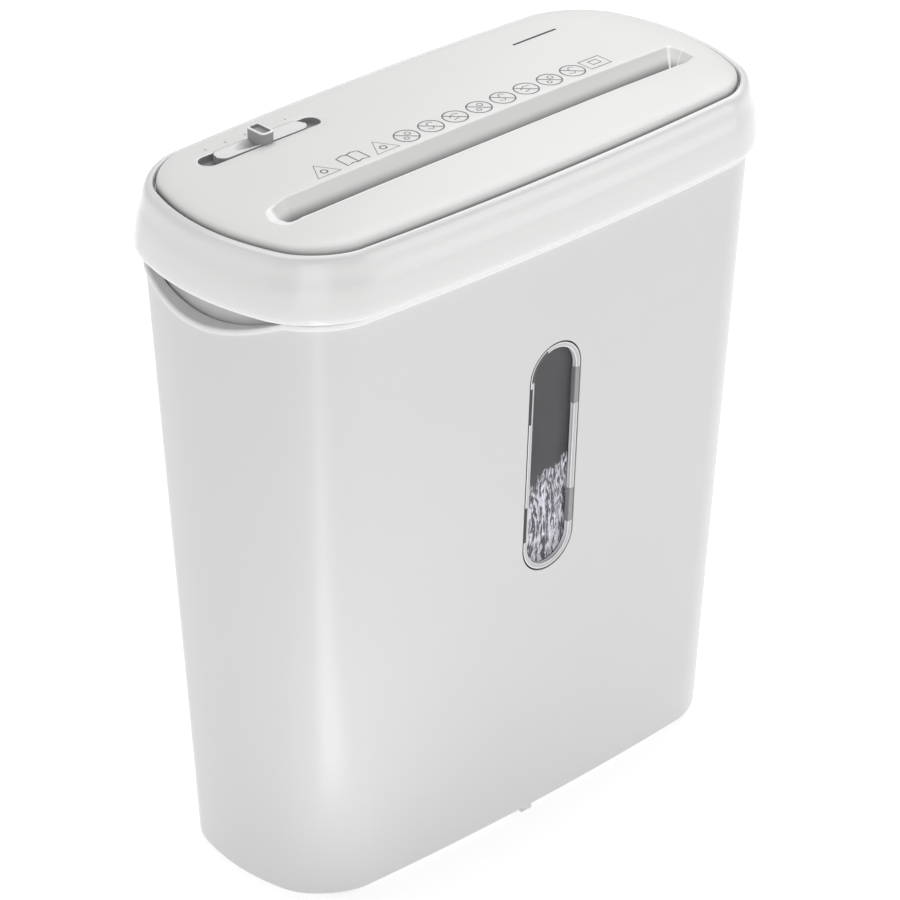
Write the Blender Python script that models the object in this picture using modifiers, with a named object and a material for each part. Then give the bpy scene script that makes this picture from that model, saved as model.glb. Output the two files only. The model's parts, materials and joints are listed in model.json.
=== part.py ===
"""Paper shredder: a cutter head that rests on a tapered waste bin with a window in its front.

All dimensions are millimetres and are scaled to metres when a mesh is made.  X is the long
horizontal direction, -Y is the front with the window, Z is up and the floor is z = 0.
"""
from math import atan2, cos, hypot, pi, radians, sin, sqrt, tan

import bmesh
import bpy
from mathutils import Matrix, Vector

for old in list(bpy.data.objects):
    bpy.data.objects.remove(old, do_unlink=True)

MM = 0.001
GAP = 0.3                      # assembly gap between pieces that touch

# ---- waste bin ----------------------------------------------------------------------------
FOOT_H = 3.0                   # floor to the bin's bottom edge
BIN_RIM = 293.6                # top of the bin's rim
# plan shapes give: half length, half depth, corner radius, bow of the ends, bow of the sides
BIN_BOTTOM = (130.2, 53.0, 24.0, 0.09, 0.09)
BIN_TOP = (142.75, 65.7, 20.4, 0.12, 0.07)
BIN_WALL = 2.5
BIN_FLOOR = 3.0
LIP_H, LIP_PROUD = 2.4, 0.6    # raised band along the rim
DIP_DEPTH, DIP_HALF, DIP_Y = 13.9, 52.0, 8.0   # hand dip in both ends of the rim
DIP_ENDS_FROM = 100.0          # distance from the middle beyond which the rim may dip
DIP_START_Z = 268.0            # height at which the wall starts to follow the dips
LEDGE_T = 2.2                  # flat ledge inside the rim
WINDOW_X, WINDOW_Z0, WINDOW_Z1, WINDOW_W = 1.3, 129.9, 243.8, 30.5
FRONT_TAB = (-5.4, 0.3, 8.1)   # small tab under the front edge: x0, x1, depth
FOOT_AT = (100.0, 33.0)
FOOT_HOLE_R = 4.0

# ---- head ---------------------------------------------------------------------------------
HEAD = (145.55, 68.75, 25.7, 0.12, 0.07)   # bottom edge of the head's outer band
HEAD_REAR_CORNER = 28.5
HEAD_Z0 = BIN_RIM + GAP        # underside of the flange that rests on the rim
FLANGE_TOP = 297.3
BAND_SECTION = (               # (outward offset, z) all round the band's wall
    (0.6, 295.5), (1.6, 295.8), (2.05, 296.6), (2.25, 298.6), (1.9, 302.5), (0.7, 309.2),
    (-0.9, 315.0), (-2.1, 320.0), (-3.2, 322.4), (-4.6, 323.4), (-5.7, 323.6), (-6.5, 323.1),
    (-6.9, 319.2), (-13.0, 319.2), (-13.0, 316.8), (-5.8, 316.8), (-2.6, 311.0), (-1.8, 303.0),
    (-2.2, 300.4), (-5.0, 299.4), (-5.0, 297.6), (-2.9, 297.6), (-2.9, 295.5))
COVER_EDGE = ((-10.9, 324.4), (-10.9, 319.5), (-7.9, 319.5), (-7.6, 321.5), (-7.9, 323.2),
              (-8.8, 324.8), (-10.4, 325.9), (-13.0, 326.5), (-20.0, 326.9))
COVER_DOME = ((0.62, 327.7), (0.3, 328.1))     # (size relative to the outline, z)
TRAY = (134.2, 58.5, 25.0, 0.06, 0.07)         # tub of the head that hangs inside the bin
TRAY_Z0, TRAY_FLOOR, TRAY_WALL = 250.5, 2.5, 2.2
TRAY_CLEARANCE = 0.8

# ---- paper path and cutters ---------------------------------------------------------------
THROAT_HALF, THROAT_Y0, THROAT_Y1 = 111.0, -26.8, -22.5
THROAT_TOP = 318.5
FUNNEL_TOP = ((-105, -9), (-118.8, -17), (-115, -27.2), (117.5, -27.2), (120, -24.5), (117, -9))
FUNNEL_LOW = ((-108.5, THROAT_Y1), (-THROAT_HALF, -24), (-THROAT_HALF, THROAT_Y0),
              (THROAT_HALF, THROAT_Y0), (THROAT_HALF, -24.5), (110, THROAT_Y1))
FUNNEL_Z = 327.5               # height of the FUNNEL_TOP corners
CHUTE_BLOCK = (-122.0, 123.0, -31.0, -5.5, 311.8)  # block under the cover: x0, x1, y0, y1, bottom
CHUTE_HOLE = (-108, 108, -44, -6)                  # opening in the tray's floor
PLATE_X, PLATE_T = 111.0, 2.0  # inner face and thickness of the side plates
PLATE_Z0, PLATE_Z1, PLATE_Y = 253.3, 311.0, 47.5
CUTTER_Y, CUTTER_SPACING, CUTTER_Z = -24.5, 18.5, 283.0
DISC_R, CORE_R, JOURNAL_R = 10.5, 6.5, 4.5
DISC_PITCH, DISC_T, DISC_COUNT = 18.0, 8.0, 11

# ---- gear train: module and teeth of each mesh, motor first --------------------------------
MESHES = ((0.8, 10, 44), (1.0, 11, 38), (1.25, 12, 34))
SYNC_TEETH = 16
LAYER_X = (113.4, 117.5, 121.6)                # where each layer of gears starts
LAYER_T = 3.8
BACKLASH = 0.32
PINION_ROOT = 1.0              # length of a pinion sunk into its wheel
MOTOR_YZ = (30.0, 284.0)
MOTOR_R, MOTOR_LEN = 18.0, 60.0
MOTOR_SCREW_R = 12.5           # motor axis to its fixing screws
SECOND_GEAR_ANGLE = -15        # direction from the rear cutter to the last compound gear, degrees

# ---- screws and small controls ------------------------------------------------------------
POSTS = ((-40.0, -51.8, 3.2), (40.0, -51.8, 3.2), (-119.2, 38.0, 3.6), (119.2, 38.0, 3.6))  # x, y, radius
POST_TOP, POST_FOOT = 325.2, 253.3
BOARD = (-104, -34, 8, 50, 306.0, 307.6)
BOARD_POSTS = ((-98.0, 14.0), (-40.0, 46.0))
BOARD_POST_R = 3.2
POCKET = (-74.75, 38.5, 33.0, 5.2)             # recess of the mode slider: x, y, half length, end radius
POCKET_BACKING = (-110, -39, 30, 47, 320.8, 325.3)
POCKET_Z, COVER_NEAR_POCKET = 323.8, 327.2
SLIDER_HALF, SLIDER_R = 24.5, 4.6
THUMB_X, THUMB_Y, THUMB_TOP = 3.0, 5.0, 332.0  # half sizes and top of the thumb tab
STEM_X, STEM_Y, STEM_Z0 = 2.4, 1.7, 314.4
MODE_TRAVEL = 7.0
STEM_PLAY_X, STEM_PLAY_Y = 5.5, 0.4            # room round the stem beyond its travel
LEVER_YZ = (-1.0, 306.5)
GLAND_AT, GLAND_REAR_Y = (104.0, 306.0), 66.2

shredder = bpy.data.collections.new("paper_shredder")
cutters = bpy.data.collections.new("cutters")
for group in (shredder, cutters):
    bpy.context.scene.collection.children.link(group)


def material(name, colour, roughness, metallic=0.0, alpha=1.0):
    made = bpy.data.materials.new(name)
    made.use_nodes = True
    made.diffuse_color = (*colour, alpha)
    shader = made.node_tree.nodes["Principled BSDF"]
    shader.inputs["Base Color"].default_value = (*colour, 1.0)
    shader.inputs["Roughness"].default_value = roughness
    shader.inputs["Metallic"].default_value = metallic
    shader.inputs["Alpha"].default_value = alpha
    return made


def place(name, mesh, made_of, at=(0, 0, 0), smooth=False, parent=None):
    """Link a mesh as a named object whose origin is at the point given in millimetres."""
    ob = bpy.data.objects.new(name, mesh)
    (cutters if made_of is None else shredder).objects.link(ob)
    ob.location = Vector(at) * MM
    if made_of is None:
        ob.hide_render = True
        ob.display_type = "WIRE"
    else:
        mesh.materials.append(made_of)
    if smooth:
        mesh.shade_smooth()
        mesh.set_sharp_from_angle(angle=radians(35))
    if parent:
        ob.parent = parent
        turned_by = parent.rotation_euler.to_matrix().to_4x4()
        ob.matrix_parent_inverse = (Matrix.Translation(parent.location) @ turned_by).inverted()
    return ob


def mesh_of(bm):
    bmesh.ops.recalc_face_normals(bm, faces=bm.faces)
    bmesh.ops.scale(bm, vec=(MM, MM, MM), verts=bm.verts)
    mesh = bpy.data.meshes.new("mesh")
    bm.to_mesh(mesh)
    bm.free()
    return mesh


def loft(rings, closed=False):
    """Skin a stack of rings of points; the first and last ring are capped or joined."""
    bm = bmesh.new()
    rows = [[bm.verts.new(p) for p in ring] for ring in rings]
    pairs = list(zip(rows, rows[1:])) + ([(rows[-1], rows[0])] if closed else [])
    for low, high in pairs:
        for i in range(len(low)):
            j = (i + 1) % len(low)
            bm.faces.new((low[i], low[j], high[j], high[i]))
    if not closed:
        bm.faces.new(rows[0])
        bm.faces.new(rows[-1])
    return mesh_of(bm)


def box(x0, x1, y0, y1, z0, z1):
    bm = bmesh.new()
    size = Vector((x1 - x0, y1 - y0, z1 - z0))
    centre = Vector((x0 + x1, y0 + y1, z0 + z1)) / 2
    bmesh.ops.create_cube(bm, size=1.0, matrix=Matrix.Translation(centre) @ Matrix.Diagonal((*size, 1)))
    return mesh_of(bm)


def rod(radius, start, end, segments=16):
    """Straight round bar between two points."""
    a, b = Vector(start), Vector(end)
    turn = (b - a).to_track_quat("Z", "Y").to_matrix().to_4x4()
    bm = bmesh.new()
    bmesh.ops.create_cone(bm, cap_ends=True, segments=segments, radius1=radius, radius2=radius,
                          depth=(b - a).length, matrix=Matrix.Translation((a + b) / 2) @ turn)
    return mesh_of(bm)


def cut(target, *tools, operation="DIFFERENCE"):
    """Remove (or join) helper shapes from a piece."""
    for tool in tools:
        helper = tool if isinstance(tool, bpy.types.Object) else place("cutter", tool, None)
        step = target.modifiers.new("cut", "BOOLEAN")
        step.operation, step.solver, step.object = operation, "EXACT", helper
    return target


def turned(name, profile, made_of, at, axis="Z", segments=16, parent=None):
    """Piece turned on a lathe: (radius, height) pairs run down its outer side."""
    mesh = bpy.data.meshes.new(name)
    swept = sum(r0 * h1 - r1 * h0 for (r0, h0), (r1, h1) in zip(profile, profile[1:] + profile[:1]))
    if swept > 0:
        profile = profile[::-1]
    points = [(r * MM, 0, h * MM) for r, h in profile]
    if profile[0] == profile[-1]:
        points.pop()
        edges = [(i, (i + 1) % len(points)) for i in range(len(points))]
    else:
        edges = [(i, i + 1) for i in range(len(points) - 1)]
    mesh.from_pydata(points, edges, [])
    ob = place(name, mesh, made_of, at, parent=parent)
    ob.rotation_euler = {"Z": (0, 0, 0), "X": (0, pi / 2, 0), "Y": (-pi / 2, 0, 0)}[axis]
    screw = ob.modifiers.new("turn", "SCREW")
    screw.steps = screw.render_steps = segments
    screw.use_merge_vertices, screw.merge_threshold = True, 0.00005
    screw.use_smooth_shade = True
    return ob


def plate(name, outlines, thickness, made_of, at, axis="X", parent=None):
    """Flat piece from a 2D outline with holes; the outline lies square to the axis."""
    curve = bpy.data.curves.new(name, "CURVE")
    curve.dimensions, curve.fill_mode, curve.extrude = "2D", "BOTH", thickness / 2 * MM
    for outline in outlines:
        line = curve.splines.new("POLY")
        line.points.add(len(outline) - 1)
        line.use_cyclic_u = True
        for point, (u, v) in zip(line.points, outline):
            point.co = (u * MM, v * MM, 0, 1)
    flat = bpy.data.objects.new("flat", curve)
    shredder.objects.link(flat)
    mesh = bpy.data.meshes.new_from_object(flat.evaluated_get(bpy.context.evaluated_depsgraph_get()))
    bpy.data.objects.remove(flat, do_unlink=True)
    turn = {"Z": Matrix.Identity(4), "Y": Matrix.Rotation(pi / 2, 4, "X"),
            "X": Matrix(((0, 0, 1, 0), (1, 0, 0, 0), (0, 1, 0, 0), (0, 0, 0, 1)))}[axis]
    bm = bmesh.new()
    bm.from_mesh(mesh)
    bmesh.ops.remove_doubles(bm, verts=bm.verts, dist=1e-6)
    bmesh.ops.transform(bm, matrix=turn, verts=bm.verts)
    bmesh.ops.recalc_face_normals(bm, faces=bm.faces)
    bm.to_mesh(mesh)
    bm.free()
    mesh.materials.clear()
    return place(name, mesh, made_of, at, parent=parent)


def circle(radius, cy=0.0, cz=0.0, count=16):
    return [(cy + radius * cos(2 * pi * i / count), cz + radius * sin(2 * pi * i / count))
            for i in range(count)]


def outline(shape, grow=0.0, rear=None, corner=5, sides=(6, 4)):
    """Rounded rectangle with gently bowed sides, as (x, y) points."""
    a, b, r, bow_end, bow_side = shape
    a, b = a + grow, b + grow
    front, back = max(r + grow, 8.0), max((rear or r) + grow, 8.0)
    points = []
    for sx, sy, start in ((1, 1, 0), (-1, 1, 90), (-1, -1, 180), (1, -1, 270)):
        rad = back if sy > 0 else front
        for i in range(corner + 1):
            t = radians(start + 90 * i / corner)
            points.append((sx * (a - rad) + rad * cos(t), sy * (b - rad) + rad * sin(t)))
    full = []
    for i, (x, y) in enumerate(points):
        full.append((x, y))
        if i % (corner + 1) == corner:
            nx, ny = points[(i + 1) % len(points)]
            count = sides[0] if abs(nx - x) > abs(ny - y) else sides[1]
            full += [(x + (nx - x) * k / count, y + (ny - y) * k / count) for k in range(1, count)]
    return [(x * (1 - bow_end * (y / b) ** 2), y * (1 - bow_side * (x / a) ** 2)) for x, y in full]


def ring(points, z):
    return [(x, y, z) for x, y in points]


def stadium(half_w, z0, z1, y, x=0.0, count=8):
    """Upright slot outline with round ends, in a plane facing the front."""
    ends = ((z1 - half_w, 0), (z0 + half_w, 180))
    return [(x + half_w * cos(radians(start + 180 * i / count)), y,
             centre + half_w * sin(radians(start + 180 * i / count)))
            for centre, start in ends for i in range(count + 1)]


def stadium_plan(sizes, count):
    """Slot outline with round ends seen from above, long in X."""
    cx, cy, half, radius = sizes
    points = []
    for side, start in ((1, -90), (-1, 90)):
        for i in range(count + 1):
            t = radians(start + 180 * i / count)
            points.append((cx + side * (half - radius) + radius * cos(t), cy + radius * sin(t)))
    return points


white = material("white_plastic", (0.72, 0.72, 0.73), 0.42)
band_white = material("white_gloss_plastic", (0.74, 0.74, 0.75), 0.28)
cover_white = material("white_satin_plastic", (0.76, 0.76, 0.77), 0.5)
grey = material("grey_plastic", (0.18, 0.18, 0.19), 0.55)
clear = material("clear_plastic", (0.75, 0.77, 0.8), 0.1, alpha=0.35)
rubber = material("black_rubber", (0.03, 0.03, 0.03), 0.85)
steel = material("zinc_plated_steel", (0.6, 0.6, 0.58), 0.35, 1.0)
tool_steel = material("tool_steel", (0.42, 0.42, 0.44), 0.3, 1.0)
nylon = material("natural_nylon", (0.75, 0.72, 0.62), 0.45)
bronze = material("sintered_bronze", (0.45, 0.3, 0.16), 0.45, 1.0)
board = material("circuit_board", (0.03, 0.16, 0.07), 0.5)
black = material("black_plastic", (0.03, 0.03, 0.035), 0.5)

# ---- waste bin: tapered tub whose rim dips at both ends -------------------------------------


def bin_shape(z):
    t = (z - FOOT_H) / (BIN_RIM - FOOT_H)
    return tuple(low + (high - low) * t for low, high in zip(BIN_BOTTOM, BIN_TOP))


def dip(x, y):
    across = (y - DIP_Y) / DIP_HALF
    if abs(x) < DIP_ENDS_FROM or abs(across) >= 1:
        return 0.0
    return DIP_DEPTH * (1 - across ** 2) ** 1.1


def bin_ring(z, grow=0.0, follow=False):
    """Ring on the tapered wall; when it follows the rim it drops into the hand dips."""
    flat = outline(bin_shape(z), grow, sides=(6, 10))
    if not follow:
        return ring(flat, z)
    points = []
    for i, (x, y) in enumerate(flat):
        low = z - dip(x, y)
        px, py = outline(bin_shape(low), grow, sides=(6, 10))[i]
        points.append((px, py, low))
    return points


def ledge_ring(z):
    """Inner edge of the rim's ledge, which follows the dips and clears the tray."""
    return [(x, y, z - dip(x, y)) for x, y in outline(TRAY, TRAY_CLEARANCE, sides=(6, 10))]


z_floor = FOOT_H + BIN_FLOOR
waste_bin = place("waste_bin", loft([
    bin_ring(FOOT_H, -1.6), bin_ring(FOOT_H + 0.5, -0.5), bin_ring(FOOT_H + 1.8),
    bin_ring(DIP_START_Z), bin_ring(BIN_RIM - LIP_H - 0.6, 0, True),
    bin_ring(BIN_RIM - LIP_H, LIP_PROUD, True), bin_ring(BIN_RIM - 0.4, LIP_PROUD, True),
    bin_ring(BIN_RIM, LIP_PROUD - 0.5, True), ledge_ring(BIN_RIM), ledge_ring(BIN_RIM - LEDGE_T),
    bin_ring(BIN_RIM - LEDGE_T, -BIN_WALL, True), bin_ring(DIP_START_Z - 2, -BIN_WALL),
    bin_ring(z_floor + 3.0, -BIN_WALL), bin_ring(z_floor, -BIN_WALL - 3.0)]), white, smooth=True)
tab_x0, tab_x1, tab_depth = FRONT_TAB
tab_y = 0.9 - bin_shape(FOOT_H + 2)[1]
cut(waste_bin, box(tab_x0, tab_x1, tab_y, tab_y + tab_depth, 0.3, FOOT_H + 1.5), operation="UNION")
cut(waste_bin, loft([stadium(WINDOW_W / 2, WINDOW_Z0, WINDOW_Z1, y, WINDOW_X) for y in (-90, -40)]))

# ---- window: clear dished pane held by a flange behind the wall -----------------------------
window_mid = (WINDOW_Z0 + WINDOW_Z1) / 2
lean = atan2(BIN_TOP[1] - BIN_BOTTOM[1], BIN_RIM - FOOT_H)
half_w, half_h = WINDOW_W / 2 - GAP, (WINDOW_Z1 - WINDOW_Z0) / 2 - GAP
pane = [(-2.9, 2.6), (-2.7, 0.15), (-0.2, 0.1), (0.0, 0.4), (0.0, 3.0), (3.4, 3.0), (3.4, 4.8)]
bin_window = place("bin_window", loft([
    stadium(half_w + grow, -half_h - grow, half_h + grow, depth) for grow, depth in pane]),
    clear, (WINDOW_X, -bin_shape(window_mid)[1] + 0.05, window_mid), smooth=True, parent=waste_bin)
bin_window.rotation_euler.x = lean

# ---- four rubber feet pushed through the bin's floor ---------------------------------------
foot_profile = [(0, FOOT_H + 6.2), (3.2, FOOT_H + 6.2), (5.2, FOOT_H + BIN_FLOOR + GAP),
                (3.5, FOOT_H + BIN_FLOOR + GAP), (3.5, FOOT_H - GAP), (9.0, FOOT_H - GAP),
                (9.0, 0.8), (8.2, 0), (0, 0)]
for i, (sx, sy) in enumerate(((-1, -1), (1, -1), (1, 1), (-1, 1)), 1):
    x, y = sx * FOOT_AT[0], sy * FOOT_AT[1]
    cut(waste_bin, rod(FOOT_HOLE_R, (x, y, 0), (x, y, z_floor + 2)))
    turned(f"rubber_foot_{i}", foot_profile, rubber, (x, y, 0), segments=12, parent=waste_bin)

# ---- head: outer band, top cover and the tray that hangs inside the bin ---------------------
head_band = place("head_band", loft([
    ring(outline(HEAD, grow, HEAD_REAR_CORNER), z) for grow, z in BAND_SECTION], closed=True),
    band_white, (0, 0, 0), smooth=True)


def cover_ring(scale, z):
    return [(x * scale, y * scale, z) for x, y in outline(HEAD, COVER_EDGE[-1][0], HEAD_REAR_CORNER)]


top_cover = place("top_cover", loft(
    [ring(outline(HEAD, grow, HEAD_REAR_CORNER), z) for grow, z in COVER_EDGE]
    + [cover_ring(scale, z) for scale, z in COVER_DOME]), cover_white, smooth=True, parent=head_band)
block_x0, block_x1, block_y0, block_y1, block_z = CHUTE_BLOCK
cut(top_cover, box(block_x0, block_x1, block_y0, block_y1, block_z, 325.5), box(*POCKET_BACKING),
    *(rod(r, (x, y, POST_FOOT), (x, y, POST_TOP), 12) for x, y, r in POSTS),
    *(rod(BOARD_POST_R, (x, y, 308.0), (x, y, POST_TOP), 12) for x, y in BOARD_POSTS), operation="UNION")
above = 334.0                  # the funnel's sides are carried on to well above the cover
rise = (above - THROAT_TOP) / (FUNNEL_Z - THROAT_TOP)
funnel_above = [(lx + (tx - lx) * rise, ly + (ty - ly) * rise)
                for (tx, ty), (lx, ly) in zip(FUNNEL_TOP, FUNNEL_LOW)]
cut(top_cover, loft([ring(FUNNEL_LOW, THROAT_TOP), ring(funnel_above, above)]),
    box(-THROAT_HALF, THROAT_HALF, THROAT_Y0, THROAT_Y1, 300, THROAT_TOP + 1))
px, py = POCKET[:2]
pocket = stadium_plan(POCKET, 8)
stem_room_x, stem_room_y = STEM_X + MODE_TRAVEL + STEM_PLAY_X, STEM_Y + STEM_PLAY_Y
cut(top_cover, loft([ring(pocket, POCKET_Z), ring(pocket, above)]),
    box(px - stem_room_x, px + stem_room_x, py - stem_room_y, py + stem_room_y, 318, 326),
    *(rod(1.9, (x, y, 250), (x, y, 268), 12) for x, y, _ in POSTS),
    *(rod(1.5, (x, y, 305), (x, y, 316), 12) for x, y in BOARD_POSTS))

flange = outline(HEAD, -3.3, HEAD_REAR_CORNER)
bottom_tray = place("bottom_tray", loft([
    ring(outline(TRAY, -1.2), TRAY_Z0), ring(outline(TRAY), TRAY_Z0 + 1.5), ring(outline(TRAY), HEAD_Z0),
    ring(flange, HEAD_Z0), ring(flange, FLANGE_TOP), ring(outline(TRAY, -TRAY_WALL), FLANGE_TOP),
    ring(outline(TRAY, -TRAY_WALL), TRAY_Z0 + TRAY_FLOOR)]), white, smooth=True, parent=head_band)
cut(bottom_tray, box(*CHUTE_HOLE, 240, 256),
    *(rod(1.9, (x, y, 245), (x, y, 256), 12) for x, y, _ in POSTS))

# ---- side plates, tie rods and bushes -------------------------------------------------------
cutter_y = {"front": CUTTER_Y - CUTTER_SPACING / 2, "rear": CUTTER_Y + CUTTER_SPACING / 2}
rods_yz = ((-42.5, 263.0), (-43.0, 303.0), (42.0, 262.0))
chamfer = 4.0
plate_outline = [(-PLATE_Y, PLATE_Z0 + chamfer), (-PLATE_Y + chamfer, PLATE_Z0),
                 (PLATE_Y - chamfer, PLATE_Z0), (PLATE_Y, PLATE_Z0 + chamfer),
                 (PLATE_Y, PLATE_Z1 - chamfer), (PLATE_Y - chamfer, PLATE_Z1),
                 (-PLATE_Y + chamfer, PLATE_Z1), (-PLATE_Y, PLATE_Z1 - chamfer)]
shared_holes = [circle(2.6, y, z, 12) for y, z in rods_yz]
shared_holes += [circle(JOURNAL_R + 2.0, y, CUTTER_Z) for y in cutter_y.values()]

# centres of the two compound gears, from the centre distances of the meshes
reach = [m * (small + large) / 2 for m, small, large in MESHES]
final_yz = (cutter_y["rear"], CUTTER_Z)
toward = radians(SECOND_GEAR_ANGLE)
second_yz = (final_yz[0] + reach[2] * cos(toward), final_yz[1] + reach[2] * sin(toward))
span = hypot(MOTOR_YZ[0] - second_yz[0], MOTOR_YZ[1] - second_yz[1])
along = (reach[1] ** 2 - reach[0] ** 2 + span ** 2) / (2 * span)
beside = sqrt(reach[1] ** 2 - along ** 2)
dy, dz = (MOTOR_YZ[0] - second_yz[0]) / span, (MOTOR_YZ[1] - second_yz[1]) / span
first_yz = (second_yz[0] + along * dy - beside * dz, second_yz[1] + along * dz + beside * dy)
to_first = atan2(first_yz[1] - MOTOR_YZ[1], first_yz[0] - MOTOR_YZ[0])
across_line = to_first + pi / 2
motor_screws = [(MOTOR_YZ[0] + r * cos(across_line), MOTOR_YZ[1] + r * sin(across_line))
                for r in (MOTOR_SCREW_R, -MOTOR_SCREW_R)]

right_holes = [circle(2.1, *first_yz, 12), circle(2.1, *second_yz, 12), circle(4.5, *MOTOR_YZ)]
right_holes += [circle(1.9, y, z, 10) for y, z in motor_screws]
for name, sign, holes in (("side_plate_left", -1, []), ("side_plate_right", 1, right_holes)):
    plate(name, [plate_outline, *shared_holes, *holes], PLATE_T, steel,
          (sign * (PLATE_X + PLATE_T / 2), 0, 0), parent=head_band)

rod_end, rod_shoulder = PLATE_X + PLATE_T + 0.2, PLATE_X - GAP
for i, (y, z) in enumerate(rods_yz, 1):
    turned(f"tie_rod_{i}", [(0, rod_end), (2.2, rod_end), (2.2, rod_shoulder), (3.2, rod_shoulder),
                            (3.2, -rod_shoulder), (2.2, -rod_shoulder), (2.2, -rod_end), (0, -rod_end)],
           steel, (0, y, z), "X", 12, head_band)
bush = [(JOURNAL_R + 0.4, 2.6), (JOURNAL_R + 1.6, 2.6), (JOURNAL_R + 1.6, -GAP), (JOURNAL_R + 3.2, -GAP),
        (JOURNAL_R + 3.2, -1.8), (JOURNAL_R + 0.4, -1.8), (JOURNAL_R + 0.4, 2.6)]
for label, y in cutter_y.items():
    for side_name, sign in (("left", -1), ("right", 1)):
        profile = [(r, h * sign) for r, h in bush]
        turned(f"{label}_bush_{side_name}", profile, bronze, (sign * PLATE_X, y, CUTTER_Z), "X",
               parent=head_band)

# ---- cutters: stacks of discs that pass between each other ---------------------------------


def cutter_profile(offset, right_end):
    first = -(DISC_COUNT - 1) / 2 * DISC_PITCH + offset
    profile = [(0, -120.4), (JOURNAL_R, -120.4), (JOURNAL_R, -PLATE_X + 2.2), (CORE_R, -PLATE_X + 2.2)]
    for i in range(DISC_COUNT):
        x = first + i * DISC_PITCH
        profile += [(CORE_R, x - DISC_T / 2), (DISC_R, x - DISC_T / 2),
                    (DISC_R, x + DISC_T / 2), (CORE_R, x + DISC_T / 2)]
    profile += [(CORE_R, PLATE_X - 2.2), (JOURNAL_R, PLATE_X - 2.2), (JOURNAL_R, right_end), (0, right_end)]
    return profile[::-1]


shafts = {}
for label, offset, right_end in (("front", -DISC_PITCH / 4, PLATE_X + 4), ("rear", DISC_PITCH / 4, 125.9)):
    shafts[label] = turned(f"cutter_shaft_{label}", cutter_profile(offset, right_end), tool_steel,
                           (0, cutter_y[label], CUTTER_Z), "X", 12)
    back = -1 if label == "front" else 1
    y_bar, y_tip = back * 12.0, back * (CORE_R + 0.8)
    comb = [(-PLATE_X + GAP, y_bar + back * 2), (-PLATE_X + GAP, y_bar)]
    for i in range(DISC_COUNT - 1):
        x = -(DISC_COUNT - 2) / 2 * DISC_PITCH + offset + i * DISC_PITCH
        comb += [(x - 3, y_bar), (x - 2.6, y_tip), (x + 2.6, y_tip), (x + 3, y_bar)]
    comb += [(PLATE_X - GAP, y_bar), (PLATE_X - GAP, y_bar + back * 2)]
    plate(f"stripper_comb_{label}", [comb], 2.4, black, (0, cutter_y[label], CUTTER_Z), "Z", head_band)

# ---- gears --------------------------------------------------------------------------------


def gear(module, teeth, phase=0.0):
    """Outline of a spur gear: straight-sided teeth, thinned for backlash."""
    pitch = module * teeth / 2
    root, tip = pitch - 1.2 * module, pitch + 0.85 * module
    thick = (pi * module / 2 - BACKLASH) / 2 / pitch           # half tooth angle on the pitch circle
    lean_in = (tip - pitch) * tan(radians(20)) / pitch
    lean_out = (pitch - root) * tan(radians(20)) / pitch
    points = []
    for i in range(teeth):
        mid = phase + 2 * pi * i / teeth
        points += [(root, mid - thick - lean_out), (tip, mid - thick + lean_in),
                   (tip, mid + thick - lean_in), (root, mid + thick + lean_out)]
    return [(r * cos(t), r * sin(t)) for r, t in points]


def mesh_phase(own_yz, other_yz, teeth, other_teeth, other_phase):
    """Turn a gear so that its tooth meets a gap of the gear it runs with."""
    facing = atan2(other_yz[1] - own_yz[1], other_yz[0] - own_yz[0])
    met = (facing + pi - other_phase) * other_teeth / (2 * pi)
    return facing + (met + 0.5) * 2 * pi / teeth


shaft_hole = circle(JOURNAL_R + GAP, count=16)
sync_module = CUTTER_SPACING / SYNC_TEETH
yz = {label: (y, CUTTER_Z) for label, y in cutter_y.items()}
phases = {"front": 0.0, "rear": mesh_phase(yz["rear"], yz["front"], SYNC_TEETH, SYNC_TEETH, 0.0)}
for label in ("front", "rear"):
    plate(f"timing_gear_{label}", [gear(sync_module, SYNC_TEETH, phases[label]), shaft_hole], 5.0, steel,
          (-116.8, cutter_y[label], CUTTER_Z), parent=shafts[label])
(m1, t1, t2), (m2, t3, t4), (m3, t5, t6) = MESHES
mid = [x + LAYER_T / 2 for x in LAYER_X]
plate("drive_gear", [gear(m3, t6), shaft_hole], LAYER_T, steel, (mid[2], *final_yz), parent=shafts["rear"])

# each compound gear is one moulding: a large wheel with a small pinion on its outer face
second_phase = mesh_phase(second_yz, final_yz, t5, t6, 0.0)
first_phase = mesh_phase(first_yz, second_yz, t3, t4, second_phase)
bore = circle(2.3, count=12)
compounds = {}
for name, at, layer, small, wheel, phase in (
        ("reduction_gear_1", first_yz, 1, (m2, t3), (m1, t2), first_phase),
        ("reduction_gear_2", second_yz, 2, (m3, t5), (m2, t4), second_phase)):
    compounds[name] = plate(name, [gear(*small, phase), bore], LAYER_T + PINION_ROOT, nylon,
                            (mid[layer] - PINION_ROOT / 2, *at))
    big = plate("wheel", [gear(*wheel, phase), bore], LAYER_T, None, (mid[layer - 1], *at))
    cut(compounds[name], big, operation="UNION")
hub_end = LAYER_X[1] + 1
cut(compounds["reduction_gear_2"], plate("hub", [circle(4.0), bore], hub_end - LAYER_X[0], None,
                                         ((hub_end + LAYER_X[0]) / 2, *second_yz)), operation="UNION")

for i, (at, end) in enumerate(((first_yz, 123.2), (second_yz, 127.2)), 1):
    groove = end - 1.0
    turned(f"gear_pin_{i}", [(0, end), (1.9, end), (1.9, groove + 0.1), (1.5, groove + 0.1),
                             (1.5, groove - 0.7), (1.9, groove - 0.7), (1.9, PLATE_X), (0, PLATE_X)],
           steel, (0, *at), "X", 12, head_band)
    plate(f"retaining_ring_{i}", [circle(3.6), circle(1.75, count=10)], 0.5, steel, (groove - 0.3, *at),
          parent=head_band)

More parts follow.
